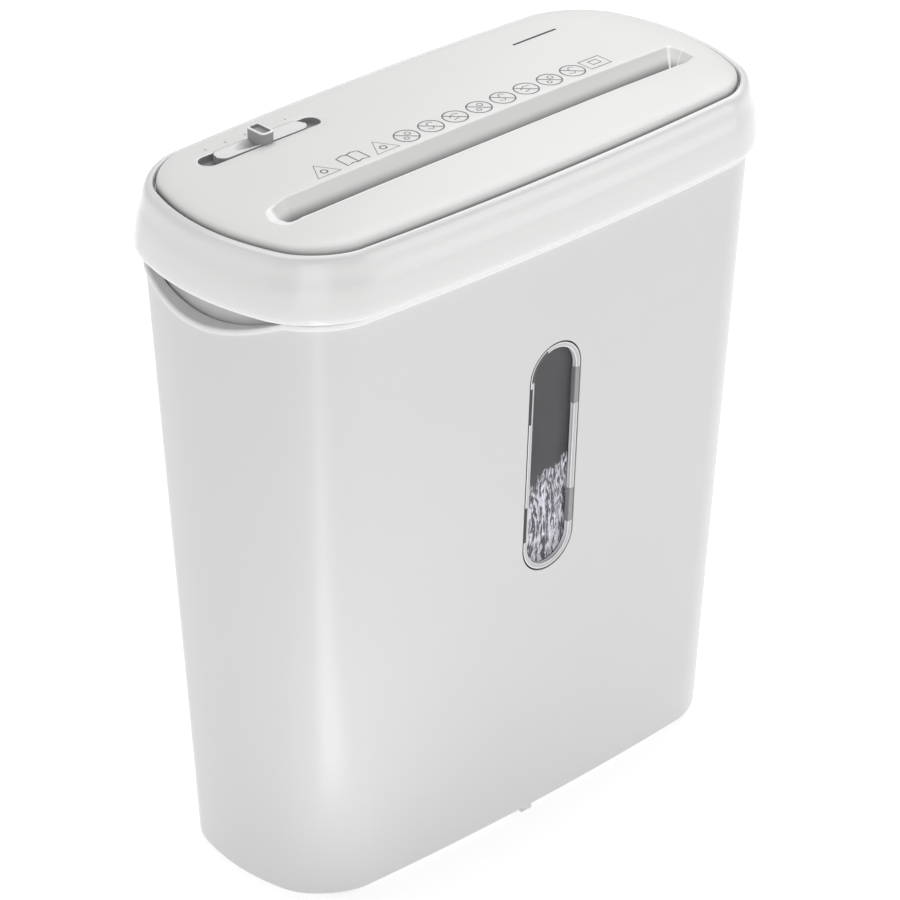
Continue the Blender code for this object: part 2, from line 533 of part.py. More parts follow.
# ---- motor, bolted to the right side plate --------------------------------------------------
motor_face = PLATE_X - GAP
can_end = motor_face - MOTOR_LEN
motor_can = turned("motor_can", [
    (4.0, motor_face), (MOTOR_R - 1, motor_face), (MOTOR_R, motor_face - 1), (MOTOR_R, can_end),
    (MOTOR_R - 1.2, can_end), (MOTOR_R - 1.2, motor_face - 2), (4.0, motor_face - 2),
    (4.0, motor_face)], steel, (0, *MOTOR_YZ), "X", 20, head_band)
turned("motor_end_cap", [(0, can_end + 3), (MOTOR_R - 1.6, can_end + 3), (MOTOR_R - 1.6, can_end - GAP),
                         (MOTOR_R - 0.5, can_end - GAP), (MOTOR_R - 0.5, can_end - 3), (7, can_end - 4.5),
                         (0, can_end - 4.5)], black, (0, *MOTOR_YZ), "X", 20, head_band)
rotor = turned("motor_rotor", [(0, LAYER_X[0] + LAYER_T), (1.5, LAYER_X[0] + LAYER_T), (1.5, motor_face - 6),
                               (10, motor_face - 6), (10, can_end + 8), (0, can_end + 8)], steel,
               (0, *MOTOR_YZ), "X", 12)
pinion_phase = mesh_phase(MOTOR_YZ, first_yz, t1, t2, first_phase)
plate("motor_pinion", [gear(m1, t1, pinion_phase), circle(1.8, count=12)], LAYER_T - 0.4, bronze,
      (mid[0], *MOTOR_YZ), parent=rotor)
for i, (y, z) in enumerate(motor_screws, 1):
    head_x = PLATE_X + PLATE_T + GAP
    cut(motor_can, rod(1.7, (motor_face - 3, y, z), (motor_face + 1, y, z), 10))
    turned(f"motor_screw_{i}", [(0, head_x + 1.8), (1.8, head_x + 1.8), (2.9, head_x + 0.9), (2.9, head_x),
                                (1.4, head_x), (1.4, motor_face - 3.5), (0, motor_face - 3.5)],
           steel, (0, y, z), "X", 10, head_band)

# ---- electrics under the cover --------------------------------------------------------------
control_board = place("control_board", box(*BOARD), board, parent=head_band)
cut(control_board, *(rod(1.9, (x, y, 300), (x, y, 310), 10) for x, y in BOARD_POSTS))
on_board = BOARD[-1] + GAP
place("mode_switch_body", box(-86, -64, 33, 44, on_board, 314.0), black, parent=head_band)
place("relay", box(-62, -47, 22, 32, on_board, 319.0), black, parent=head_band)
turned("capacitor", [(0, 14), (4.6, 14), (5, 13.4), (5, 0), (0, 0)], grey, (-85, 21, on_board),
       segments=14, parent=head_band)
for i, (x, y) in enumerate(BOARD_POSTS, 1):
    turned(f"board_screw_{i}", [(0, 13), (1.2, 13), (1.2, 7.6), (2.8, 7.6), (2.8, 6.4), (1.6, 5.7), (0, 5.7)],
           steel, (x, y, 298.1), segments=10, parent=head_band)
for i, (x, y, _) in enumerate(POSTS, 1):
    turned(f"cover_screw_{i}", [(0, 263), (1.5, 263), (1.5, TRAY_Z0 - GAP), (3.2, TRAY_Z0 - GAP),
                                (3.2, TRAY_Z0 - 1.4), (2.2, TRAY_Z0 - 2.2), (0, TRAY_Z0 - 2.2)],
           steel, (x, y, 0), segments=10, parent=head_band)

# ---- controls: mode slider, paper sensor -----------------------------------------------------
slider_plate = stadium_plan((px, py, SLIDER_HALF, SLIDER_R), 8)
thumb = [(px + x * THUMB_X, py + y * THUMB_Y) for x, y in
         ((0.6, -1), (1, -0.75), (1, 0.75), (0.6, 1), (-0.6, 1), (-1, 0.75), (-1, -0.75), (-0.6, -1))]
mode_slider = place("mode_slider", loft([
    ring(slider_plate, POCKET_Z + GAP), ring(slider_plate, COVER_NEAR_POCKET)]), cover_white)
cut(mode_slider, loft([ring(thumb, COVER_NEAR_POCKET - 1), ring(thumb, THUMB_TOP)]),
    box(px - STEM_X, px + STEM_X, py - STEM_Y, py + STEM_Y, STEM_Z0, 325), operation="UNION")

ly, lz = LEVER_YZ
lever_side = [(-23.5, 1.0), (-24.5, 2.0), (-25.2, 1.6), (-24.8, 0), (-23, -0.9), (-3, -2.2), (0, -3.0),
              (3, -1.6), (8, -0.8), (8, 1.2), (3, 1.8), (0, 3.0), (-3, 2.0)]
sensor_lever = plate("sensor_lever", [lever_side], 3.0, black, (0, ly, lz))
cut(sensor_lever, rod(1.5, (-3.5, ly, lz), (5.2, ly, lz), 12), operation="UNION")
sensor_bracket = place("sensor_bracket", box(2.2, 4.4, -4.6, 10, 301.5, 324.1), grey, parent=head_band)
cut(sensor_bracket, rod(1.9, (0, ly, lz), (8, ly, lz), 14))
place("sensor_switch", box(-14, 1.9, 1.0, 7.5, 311.5, 318.0), black, parent=head_band)

# ---- cable gland: plain bush in the rear of the band, where the mains cord would leave ------
gx, gz = GLAND_AT
cut(head_band, rod(5.0, (gx, 40, gz), (gx, 90, gz), 16))
turned("cable_gland", [(3.3, GLAND_REAR_Y), (4.6, GLAND_REAR_Y), (4.6, GLAND_REAR_Y - 5.5),
                       (6.6, GLAND_REAR_Y - 5.5), (6.6, GLAND_REAR_Y - 7.2), (3.3, GLAND_REAR_Y - 7.2),
                       (3.3, GLAND_REAR_Y)], black, (gx, 0, gz), "Y", parent=head_band)
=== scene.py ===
"""Looks of the paper shredder: shells, printed icons, clear window, shredded paper, materials.

Lengths are millimetres in the CAD frame (X long side, -Y front, Z up, floor at z = 0) and are
scaled to metres when a mesh is made.
"""
import json
import random
from math import atan2, cos, hypot, pi, radians, sin, sqrt

import bmesh
import bpy
import numpy as np
from mathutils import Matrix, Vector
from mathutils.geometry import delaunay_2d_cdt


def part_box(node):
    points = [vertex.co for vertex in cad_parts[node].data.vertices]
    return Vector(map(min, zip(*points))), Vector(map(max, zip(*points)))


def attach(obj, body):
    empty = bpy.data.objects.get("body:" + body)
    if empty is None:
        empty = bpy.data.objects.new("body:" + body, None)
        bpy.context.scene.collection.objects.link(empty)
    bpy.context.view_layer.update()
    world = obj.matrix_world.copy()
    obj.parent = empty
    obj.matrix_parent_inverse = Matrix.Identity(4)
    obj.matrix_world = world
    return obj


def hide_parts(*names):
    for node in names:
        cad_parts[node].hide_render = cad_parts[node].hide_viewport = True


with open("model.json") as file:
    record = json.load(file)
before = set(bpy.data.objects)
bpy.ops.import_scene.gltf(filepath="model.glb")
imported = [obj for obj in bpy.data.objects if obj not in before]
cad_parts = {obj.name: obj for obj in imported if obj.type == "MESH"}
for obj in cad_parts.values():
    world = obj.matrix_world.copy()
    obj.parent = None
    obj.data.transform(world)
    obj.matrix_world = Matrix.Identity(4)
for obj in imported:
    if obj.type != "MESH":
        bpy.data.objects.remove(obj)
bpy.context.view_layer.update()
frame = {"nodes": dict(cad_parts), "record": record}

MM = 0.001
nodes = frame["nodes"]


def node_box(name):
    """Lowest and highest corner of a CAD node, in millimetres."""
    low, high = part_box(name)
    return [v / MM for v in low], [v / MM for v in high]


# ---- sizes shared with the CAD, in millimetres --------------------------------------------
# An outline is (half length, half depth, corner radius, bow of the ends, bow of the long sides).
FOOT_H = 3.0
FOOT_X, FOOT_Y = 100, 33
FOOT_HOLE_R, FOOT_HOLE_Z = 4.0, (0, 9)
BIN_RIM = node_box("waste_bin")[1][2]
BIN_BOTTOM = (130.2, 53.0, 24.0, 0.09, 0.09)
BIN_TOP = (142.75, 65.7, 20.4, 0.12, 0.07)
BIN_WALL, BIN_FLOOR = 2.5, 3.0
BIN_FOOT_ROUND, BIN_INNER_ROUND = 1.8, 4
WALL_SLOPE = 0.0436                     # lean of the long walls, run over rise
LIP_H = 2.4
DIP_DEPTH, DIP_HALF, DIP_Y = 13.9, 52.0, 8.0
DIP_ENDS_FROM = 100                     # the rim dips only past this distance from the middle
WINDOW_X, WINDOW_Z0, WINDOW_Z1, WINDOW_W = 1.3, 129.9, 243.8, 30.5
WINDOW_GAP = 0.3
HEAD = (145.55, 68.75, 25.7, 0.12, 0.07)
HEAD_REAR_CORNER = 28.5
TRAY = (134.2, 58.5, 25.0, 0.06, 0.07)
TRAY_CLEARANCE = 0.8
LEDGE_T = 2.2

# ---- helpers ------------------------------------------------------------------------------


def outline(shape, grow=0.0, rear=None, corner=20, sides=(40, 24)):
    """Rounded rectangle with gently bowed sides, as (x, y) points."""
    a, b, r, bow_end, bow_side = shape
    a, b = a + grow, b + grow
    front, back = max(r + grow, 8.0), max((rear or r) + grow, 8.0)
    points = []
    for sx, sy, start in ((1, 1, 0), (-1, 1, 90), (-1, -1, 180), (1, -1, 270)):
        rad = back if sy > 0 else front
        for i in range(corner + 1):
            t = radians(start + 90 * i / corner)
            points.append((sx * (a - rad) + rad * cos(t), sy * (b - rad) + rad * sin(t)))
    full = []
    for i, (x, y) in enumerate(points):
        full.append((x, y))
        if i % (corner + 1) == corner:
            nx, ny = points[(i + 1) % len(points)]
            count = sides[0] if abs(nx - x) > abs(ny - y) else sides[1]
            full += [(x + (nx - x) * k / count, y + (ny - y) * k / count)
                     for k in range(1, count)]
    return [(x * (1 - bow_end * (y / b) ** 2), y * (1 - bow_side * (x / a) ** 2))
            for x, y in full]


def head_ring(grow, z):
    return [(x, y, z) for x, y in outline(HEAD, grow, HEAD_REAR_CORNER)]


def quarter(steps):
    """Angles of a quarter turn, in equal steps."""
    return [radians(90 * k / steps) for k in range(steps + 1)]


def rounded_polygon(corners, steps=6):
    """Closed outline through (x, y, fillet radius) corners, with the same point count at each."""
    points = []
    count = len(corners)
    for i, (x, y, r) in enumerate(corners):
        here = Vector((x, y))
        back = Vector(corners[i - 1][:2]) - here
        ahead = Vector(corners[(i + 1) % count][:2]) - here
        back.normalize()
        ahead.normalize()
        half = back.angle(ahead) / 2
        reach = r / max(0.05, sin(half) / cos(half))
        start, end = here + back * reach, here + ahead * reach
        for k in range(steps + 1):
            t = k / steps
            points.append(tuple((1 - t) ** 2 * start + 2 * t * (1 - t) * here + t * t * end))
    return points


def spline(points, steps=5):
    """Smooth curve through the points (Catmull-Rom), ends included."""
    ends = [points[0], *points, points[-1]]
    made = []
    for p0, p1, p2, p3 in zip(ends, ends[1:], ends[2:], ends[3:]):
        for k in range(steps):
            t = k / steps
            made.append(tuple(
                0.5 * (2 * b + (c - a) * t + (2 * a - 5 * b + 4 * c - d) * t * t
                       + (3 * b - a - 3 * c + d) * t ** 3)
                for a, b, c, d in zip(p0, p1, p2, p3)))
    return made + [tuple(points[-1])]


def new_mesh(bm, name, sharp=35):
    bmesh.ops.recalc_face_normals(bm, faces=bm.faces)
    bmesh.ops.scale(bm, vec=(MM, MM, MM), verts=bm.verts)
    mesh = bpy.data.meshes.new(name)
    bm.to_mesh(mesh)
    bm.free()
    mesh.shade_smooth()
    mesh.set_sharp_from_angle(angle=radians(sharp))
    return mesh


def add_rings(bm, rings, closed=False, caps=True):
    """Skin a stack of rings and return the rows of vertices."""
    rows = [[bm.verts.new(p) for p in ring] for ring in rings]
    pairs = list(zip(rows, rows[1:])) + ([(rows[-1], rows[0])] if closed else [])
    for low, high in pairs:
        for i in range(len(low)):
            j = (i + 1) % len(low)
            bm.faces.new((low[i], low[j], high[j], high[i]))
    if caps and not closed:
        bm.faces.new(rows[0])
        bm.faces.new(rows[-1])
    return rows


def loft(name, rings, closed=False, sharp=35):
    bm = bmesh.new()
    add_rings(bm, rings, closed)
    return new_mesh(bm, name, sharp)


def link(name, mesh, made_of, body, at=(0, 0, 0), turn=(0, 0, 0), replaces=()):
    """Add a piece to the scene, riding on a CAD body."""
    piece = bpy.data.objects.new(name, mesh)
    bpy.context.scene.collection.objects.link(piece)
    piece.location = Vector(at) * MM
    piece.rotation_euler = turn
    mesh.materials.clear()
    mesh.materials.append(made_of)
    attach(piece, body)
    if replaces:
        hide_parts(*replaces)
    return piece


def add_looks(piece, *looks):
    """Further materials of a piece, numbered from 1."""
    for look in looks:
        piece.data.materials.append(look)


def paint(piece, faces, look_number):
    for index in faces:
        piece.data.polygons[index].material_index = look_number


def carve(piece, mesh, sharp=32):
    """Cut a helper mesh out of a piece and keep the result as the piece's mesh."""
    tool = bpy.data.objects.new("tool", mesh)
    bpy.context.scene.collection.objects.link(tool)
    step = piece.modifiers.new("cut", "BOOLEAN")
    step.operation, step.solver, step.object = "DIFFERENCE", "EXACT", tool
    bpy.context.view_layer.update()
    shown = piece.evaluated_get(bpy.context.evaluated_depsgraph_get())
    result = bpy.data.meshes.new_from_object(shown)
    piece.modifiers.clear()
    old = piece.data
    piece.data = result
    result.name = old.name
    bpy.data.meshes.remove(old)
    bpy.data.objects.remove(tool, do_unlink=True)
    result.shade_smooth()
    result.set_sharp_from_angle(angle=radians(sharp))


# ---- materials ----------------------------------------------------------------------------


def shader_for(name):
    made = bpy.data.materials.new(name)
    made.use_nodes = True
    tree = made.node_tree
    return made, tree, tree.nodes["Principled BSDF"]


def feed(tree, node, **inputs):
    """Fill a node's inputs: outputs of other nodes are linked, numbers and colours are set."""
    for name, value in inputs.items():
        socket = node.inputs[name.replace("_", " ")]
        if isinstance(value, bpy.types.NodeSocket):
            tree.links.new(value, socket)
        else:
            socket.default_value = (*value, 1) if socket.type == "RGBA" else value
    return node


def add_node(tree, kind, **inputs):
    return feed(tree, tree.nodes.new("ShaderNode" + kind), **inputs)


def object_coords(tree):
    return add_node(tree, "TexCoord").outputs["Object"]


def noise(tree, scale, detail=3.0, roughness=0.5, stretch=None, turn=(0, 0, 0)):
    """Noise over the piece, drawn out along the axes with a small stretch."""
    where = object_coords(tree)
    if stretch:
        where = add_node(tree, "Mapping", Vector=where, Scale=stretch,
                         Rotation=turn).outputs["Vector"]
    return add_node(tree, "TexNoise", Vector=where, Scale=scale, Detail=detail,
                    Roughness=roughness).outputs["Fac"]


def remap(tree, value, low, high):
    return add_node(tree, "MapRange", Value=value, To_Min=low, To_Max=high).outputs["Result"]


def smooth_step(tree, value, low, high, start=0.0):
    """Rise from start to 1 as the value goes from low to high."""
    made = add_node(tree, "MapRange", Value=value, From_Min=low, From_Max=high, To_Min=start)
    made.interpolation_type = "SMOOTHSTEP"
    return made.outputs["Result"]


def blend_colours(tree, value, first, second):
    made = tree.nodes.new("ShaderNodeMix")
    made.data_type = "RGBA"
    return feed(tree, made, Factor=value, A=first, B=second).outputs["Result"]


def bump(tree, height, strength, distance):
    return add_node(tree, "Bump", Height=height, Strength=strength,
                    Distance=distance).outputs["Normal"]


def plastic(name, colour, roughness, grain=0.02, grain_scale=2600, spread=0.03, coat=0.0,
            shade=0.985, recess=None):
    """Moulded plastic: fine grain, faint flow variation in colour and gloss.

    recess is (low z, high z, share of the colour left at low z): painted shade in a narrow gap,
    darker towards low z.
    """
    made, tree, shader = shader_for(name)
    tint = blend_colours(tree, noise(tree, 22, 2), tuple(c * shade for c in colour), colour)
    if recess:
        low, high, left = recess
        # painted shade: the colour darkens towards the bottom of a recess
        height = add_node(tree, "SeparateXYZ", Vector=object_coords(tree)).outputs["Z"]
        gap_shade = smooth_step(tree, height, low * MM, high * MM, left)
        tint = blend_colours(tree, gap_shade, (0, 0, 0), tint)
    feed(tree, shader, Base_Color=tint, Coat_Weight=coat, Coat_Roughness=0.12,
         Roughness=remap(tree, noise(tree, 90, 4), roughness - spread, roughness + spread),
         Normal=bump(tree, noise(tree, grain_scale, 2, 0.6), grain, 0.0002))
    return made


def metal(name, colour, roughness, brushed=(1, 1, 1), grain=0.08):
    """Metal with streaks drawn out along its length and slight tarnish."""
    made, tree, shader = shader_for(name)
    streaks = noise(tree, 700, 4, stretch=brushed)
    tarnished = tuple(c * 0.82 for c in colour)
    feed(tree, shader, Metallic=1.0,
         Base_Color=blend_colours(tree, noise(tree, 120, 4), tarnished, colour),
         Roughness=remap(tree, streaks, roughness - 0.1, roughness + 0.12),
         Normal=bump(tree, streaks, grain, 0.0001))
    return made


def clear_plastic(name, colour, roughness=0.04, cover=0.14):
    """Thin clear sheet: light passes straight through, with a faint sheen and haze."""
    made, tree, shader = shader_for(name)
    feed(tree, shader, Base_Color=colour,
         Alpha=remap(tree, noise(tree, 60, 3), cover * 0.8, cover * 1.2),
         Roughness=remap(tree, noise(tree, 40, 3), roughness, roughness + 0.04))
    return made


def paper(name, glow=0.42):
    """Matt paper strips, white and lilac, with painted shade: dark lengths stand for the shaded
    gaps between strips; the strips glow a little, which is painted light.
    """
    made, tree, shader = shader_for(name)
    streaks = noise(tree, 620, 2, stretch=(1, 1, 0.05), turn=(0, radians(-16), 0))
    light = blend_colours(tree, noise(tree, 200, 2), (0.78, 0.76, 0.88), (1.0, 1.0, 1.0))
    # painted shade: dark streaks for the gaps between strips
    tint = blend_colours(tree, smooth_step(tree, streaks, 0.42, 0.56), (0.04, 0.038, 0.055), light)
    # painted light: the strips glow
    feed(tree, shader, Base_Color=tint, Emission_Color=tint, Emission_Strength=glow,
         Roughness=remap(tree, noise(tree, 90, 3), 0.75, 0.9))
    return made


def grey(value):
    return value, value, value


COVER_COLOUR = (0.80, 0.797, 0.79)
bin_white = plastic("bin_white", grey(0.66), 0.295, grain=0.005, grain_scale=1500, spread=0.015)
# painted highlight: a lighter copy of the bin's white for its lip
bin_lip_highlight = plastic("bin_lip_highlight", grey(0.88), 0.31)
band_white = plastic("band_white", (0.80, 0.80, 0.795), 0.22, grain=0.004, grain_scale=1500,
                     coat=0.4)
# painted shade: the cover's white darkens down the slot's funnel
cover_white = plastic("cover_white", COVER_COLOUR, 0.34, grain=0.015, recess=(320.6, 324.6, 0.2))
# painted shade: the cover's rounded edge darkens down into the groove by the band
cover_edge_shade = plastic("cover_edge_shade", COVER_COLOUR, 0.34, grain=0.015, recess=(321.9, 325.5, 0.36))
# painted highlight: a lighter copy of the cover's white for lips and rims that catch the light
cover_lip_highlight = plastic("cover_lip_highlight", (0.97, 0.97, 0.965), 0.31, grain=0.01)
# painted shade: the slider's white darkens into the finger scoop
slider_white = plastic("slider_white", grey(0.80), 0.42, grain=0.015, recess=(325.9, 327.9, 0.45))
# painted shade: a grey copy of the slider's white for the thumb tab's sides
thumb_side_shade = plastic("thumb_side_shade", grey(0.42), 0.34, grain=0.015, recess=(326.0, 331.0, 0.8))
# painted shade: dark grey for the inside of recesses and faces in shadow
recess_shade_grey = plastic("recess_shade_grey", grey(0.36), 0.5, grain=0.04, shade=0.9)
tray_white = plastic("tray_white", grey(0.68), 0.5, grain=0.05)
dark_plastic = plastic("dark_plastic", (0.035, 0.035, 0.04), 0.5, grain=0.1, shade=0.8)
grey_plastic = plastic("grey_plastic", (0.2, 0.2, 0.21), 0.5, grain=0.1, shade=0.85)
nylon = plastic("natural_nylon", (0.76, 0.73, 0.62), 0.42, grain=0.05, shade=0.94)
rubber = plastic("foot_rubber", grey(0.035), 0.85, grain=0.3, grain_scale=1200, shade=0.7)
laminate = plastic("board_laminate", (0.03, 0.17, 0.07), 0.4, grain=0.15, grain_scale=900,
                   shade=0.7)
ink = plastic("printed_ink", grey(0.13), 0.5, shade=0.9)
dark_ink = plastic("printed_dark_ink", grey(0.03), 0.45, shade=0.9)
zinc = metal("zinc_plated_steel", (0.62, 0.62, 0.6), 0.36)
shaft_steel = metal("cutter_steel", (0.45, 0.45, 0.47), 0.28, (0.15, 1, 1))
bronze = metal("sintered_bronze", (0.5, 0.33, 0.17), 0.42, grain=0.2)
acrylic = clear_plastic("clear_acrylic", (0.35, 0.35, 0.37))
# painted highlight and painted shade: light and mid-grey bands on the pane's clear rim
pane_rim_highlight = plastic("pane_rim_highlight", (0.80, 0.80, 0.82), 0.08, grain=0.01, coat=0.6)
pane_rim_half_shade = plastic("pane_rim_half_shade", (0.50, 0.50, 0.51), 0.08, grain=0.01, coat=0.6)
rim_shadow = plastic("rim_shadow", (0.03, 0.03, 0.032), 0.3, shade=0.8)
# painted shade: dark and grey copies of the same clip for its left and right
clip_shade_dark = plastic("clip_shade_dark", (0.02, 0.02, 0.022), 0.25, shade=0.8)
clip_shade_grey = plastic("clip_shade_grey", (0.30, 0.30, 0.31), 0.15, shade=0.8, coat=0.5)
shred_paper = paper("shred_paper")

SLOT_LOOKS = {
    "steel": zinc, "tool_steel": shaft_steel, "bronze": bronze, "nylon": nylon, "rubber": rubber,
    "board": laminate, "black_plastic": dark_plastic, "grey_plastic": grey_plastic,
    "clear_plastic": acrylic, "band_plastic": band_white, "cover_plastic": cover_white,
    "white_plastic": bin_white}
slot_of = {s["node"]: s["material_slot"] for s in frame["record"]["subparts"]}
for name, obj in nodes.items():
    look = tray_white if name == "bottom_tray" else SLOT_LOOKS[slot_of[name]]
    obj.data.materials.clear()
    obj.data.materials.append(look)

# ---- waste bin ----------------------------------------------------------------------------
BIN_SIDES = (40, 64)                    # points along a long side and along an end
DIP_START_Z = 258.0                     # above this the wall's rows follow the dip
LIP_SECTION = (                         # (height from the rim, growth) up the outside of the lip
    (-LIP_H - 0.05, 0.02), (-LIP_H, 0.55), (-LIP_H + 0.15, 0.85), (-LIP_H + 0.5, 0.88),
    (-1.2, 0.66), (-0.45, 0.45), (-0.15, 0.2), (-0.02, -0.15), (0, -0.6))


def bin_shape(z):
    t = (z - FOOT_H) / (BIN_RIM - FOOT_H)
    return tuple(low + (high - low) * t for low, high in zip(BIN_BOTTOM, BIN_TOP))


def dip(x, y):
    """Depth of the hand dip in the rim at a point of its outline."""
    across = (y - DIP_Y) / DIP_HALF
    if abs(x) < DIP_ENDS_FROM or abs(across) >= 1:
        return 0.0
    return DIP_DEPTH * (1 - across ** 2) ** 1.1


drops = [dip(x, y) for x, y in outline(bin_shape(BIN_RIM), sides=BIN_SIDES)]
wall_ends = {}                          # outlines of the wall's foot and rim, by their growth


def wall_point(i, z, grow):
    """Point i of the tapered wall's outline at height z."""
    t = (z - FOOT_H) / (BIN_RIM - FOOT_H)
    low, high = (end[i] for end in wall_ends[grow])
    return low[0] + (high[0] - low[0]) * t, low[1] + (high[1] - low[1]) * t, z


def bin_ring(z, grow=0.0, follow=0.0):
    """Ring on the wall; follow says how much of the hand dip it takes."""
    if grow not in wall_ends:
        wall_ends[grow] = [outline(end, grow, sides=BIN_SIDES) for end in (BIN_BOTTOM, BIN_TOP)]
    return [wall_point(i, z - drop * follow, grow) for i, drop in enumerate(drops)]


def ledge_ring(z, grow=0.0):
    """Ring along the inner edge of the rim's ledge."""
    return [(x, y, z - dip(x, y))
            for x, y in outline(TRAY, TRAY_CLEARANCE + grow, sides=BIN_SIDES)]


def build_bin():
    z_floor = FOOT_H + BIN_FLOOR
    rise = BIN_RIM - LIP_H - 0.5 - DIP_START_Z      # from the straight wall to the lip
    outside = [bin_ring(FOOT_H + BIN_FOOT_ROUND * (1 - cos(t)), -BIN_FOOT_ROUND * (1 - sin(t)))
               for t in quarter(6)]
    outside += [bin_ring(z) for z in (30, 60, 90, 120, 150, 180, 210, 235, DIP_START_Z)]
    outside += [bin_ring(DIP_START_Z + rise * t, 0, t) for t in (0.2, 0.4, 0.6, 0.8, 0.92, 1)]
    lip_start = len(outside)
    outside += [bin_ring(BIN_RIM + dz, grow, 1.0) for dz, grow in LIP_SECTION]
    lip_end = len(outside) - 1
    outside += [ledge_ring(BIN_RIM, 0.3), ledge_ring(BIN_RIM - 0.3), ledge_ring(BIN_RIM - LEDGE_T),
                bin_ring(BIN_RIM - LEDGE_T, -BIN_WALL, 1.0)]
    inner = [bin_ring(DIP_START_Z + rise * t, -BIN_WALL, t) for t in (0.75, 0.5, 0.25)]
    inner += [bin_ring(z, -BIN_WALL) for z in (DIP_START_Z, 200, 140, 80, 30)]
    inner += [bin_ring(z_floor + BIN_INNER_ROUND * (1 - sin(t)),
                       -BIN_WALL - BIN_INNER_ROUND * (1 - cos(t))) for t in quarter(5)]
    shell = link("bin_shell", loft("bin_shell", outside + inner), bin_white, "bin",
                 replaces=["waste_bin"])
    # painted highlight on the lip's faces
    add_looks(shell, bin_lip_highlight)
    paint(shell, range(lip_start * len(drops), lip_end * len(drops)), 1)
    carve(shell, loft("hole", [stadium(WINDOW_W / 2, WINDOW_Z0, WINDOW_Z1, y, WINDOW_X, 24)
                               for y in (-90, -40)]))
    for sx in (-1, 1):
        for sy in (-1, 1):
            carve(shell, disc_column(FOOT_HOLE_R, (FOOT_X * sx, FOOT_Y * sy), FOOT_HOLE_Z))


def disc_column(radius, centre, span, count=32):
    turns = [2 * pi * i / count for i in range(count)]
    ring = [(centre[0] + radius * cos(t), centre[1] + radius * sin(t)) for t in turns]
    return loft("column", [[(x, y, z) for x, y in ring] for z in span])


def stadium(half_w, z0, z1, y, x=0.0, count=16):
    """Upright slot outline with round ends, in a plane facing the front."""
    ends = ((z1 - half_w, 0), (z0 + half_w, 180))
    return [(x + half_w * cos(radians(start + 180 * i / count)), y,
             centre + half_w * sin(radians(start + 180 * i / count)))
            for centre, start in ends for i in range(count + 1)]


def build_front_tab():
    """Small moulded tab under the middle of the bin's front edge."""
    front = -bin_shape(FOOT_H)[1] + 0.9
    side = [(front, FOOT_H + 1.2), (front, 1.4), (front + 0.5, 0.5), (front + 1.4, 0.3),
            (front + 5, 1.8), (front + 7.5, FOOT_H + 1.2)]
    rings = [[(x, y + inset * 0.25, z) for y, z in side]
             for x, inset in ((-5.4, 1), (-5.1, 0), (0.0, 0), (0.3, 1))]
    link("bin_front_tab", loft("tab", rings, sharp=40), bin_white, "bin")


build_bin()
build_front_tab()

# ---- window -------------------------------------------------------------------------------
window_mid = (WINDOW_Z0 + WINDOW_Z1) / 2
window_y = -bin_shape(window_mid)[1] + 0.05
lean = atan2(BIN_TOP[1] - BIN_BOTTOM[1], BIN_RIM - FOOT_H)
half_w, half_h = WINDOW_W / 2 - WINDOW_GAP, (WINDOW_Z1 - WINDOW_Z0) / 2 - WINDOW_GAP
PANE_SECTION = (                        # (growth, depth) from the flat face round to the back
    (-2.9, 2.6), (-2.88, 2.1), (-2.85, 0.9), (-2.7, 0.35), (-2.3, 0.1), (-0.9, 0.05),
    (-0.45, 0.12), (-0.1, 0.5), (0.0, 1.2), (0.0, 3.0), (3.4, 3.0), (3.4, 4.8))
# the rim's light, mid and dark rows are painted highlight and painted shade
FLAT, DARK, MID = 1, 2, 3               # looks of the pane, after its light rim
PANE_ROWS = {0: DARK, 2: MID, 4: MID, 6: DARK, 7: DARK, 8: DARK, 9: DARK}
CLIPS = ((-1, 21.0, 39.0), (-1, -38.5, -20.5), (1, 22.0, 40.0), (1, -38.0, -21.0))
CLIP_X = {-1: (-14.9, -13.2), 1: (12.0, 14.6)}
# painted shade: the left clips dark, the right ones grey
CLIP_LOOK = {-1: clip_shade_dark, 1: clip_shade_grey}
CLIP_SECTION = ((2.4, 0.0), (0.2, 0.0), (-0.05, 0.25))      # (depth, inset)


def build_window():
    """Dished pane: a clear moulded rim round a flat clear face set back from the wall; the rim is
    drawn in rows of painted highlight and painted shade.
    """
    rings = [stadium(half_w + grow, -half_h - grow, half_h + grow, depth, count=24)
             for grow, depth in PANE_SECTION]
    pane = link("window_pane", loft("window_pane", rings), pane_rim_highlight, "bin",
                (WINDOW_X, window_y, window_mid), (lean, 0, 0), ["bin_window"])
    add_looks(pane, acrylic, rim_shadow, pane_rim_half_shade)
    for number, face in enumerate(pane.data.polygons):
        row = number // len(rings[0])
        x, _, z = face.center / MM
        # painted shade on the rim's upper left arc
        upper_left = -15 < x < -5 and z > half_h - 16
        if row in (3, 4) and upper_left:
            face.material_index = DARK
        else:
            face.material_index = FLAT if len(face.vertices) > 4 else PANE_ROWS.get(row, 0)


def build_clips():
    """Four snap clips that hold the pane, in painted shade: dark on the left, grey on the right."""
    for i, (side, z0, z1) in enumerate(CLIPS):
        lo, hi = CLIP_X[side]
        rings = [[(lo + inset, depth, z0 + inset), (hi - inset, depth, z0 + inset),
                  (hi - inset, depth, z1 - inset), (lo + inset, depth, z1 - inset)]
                 for depth, inset in CLIP_SECTION]
        link(f"window_clip_{i + 1}", loft("clip", rings, sharp=20), CLIP_LOOK[side], "bin",
             (WINDOW_X, window_y, window_mid), (lean, 0, 0))


build_window()
build_clips()

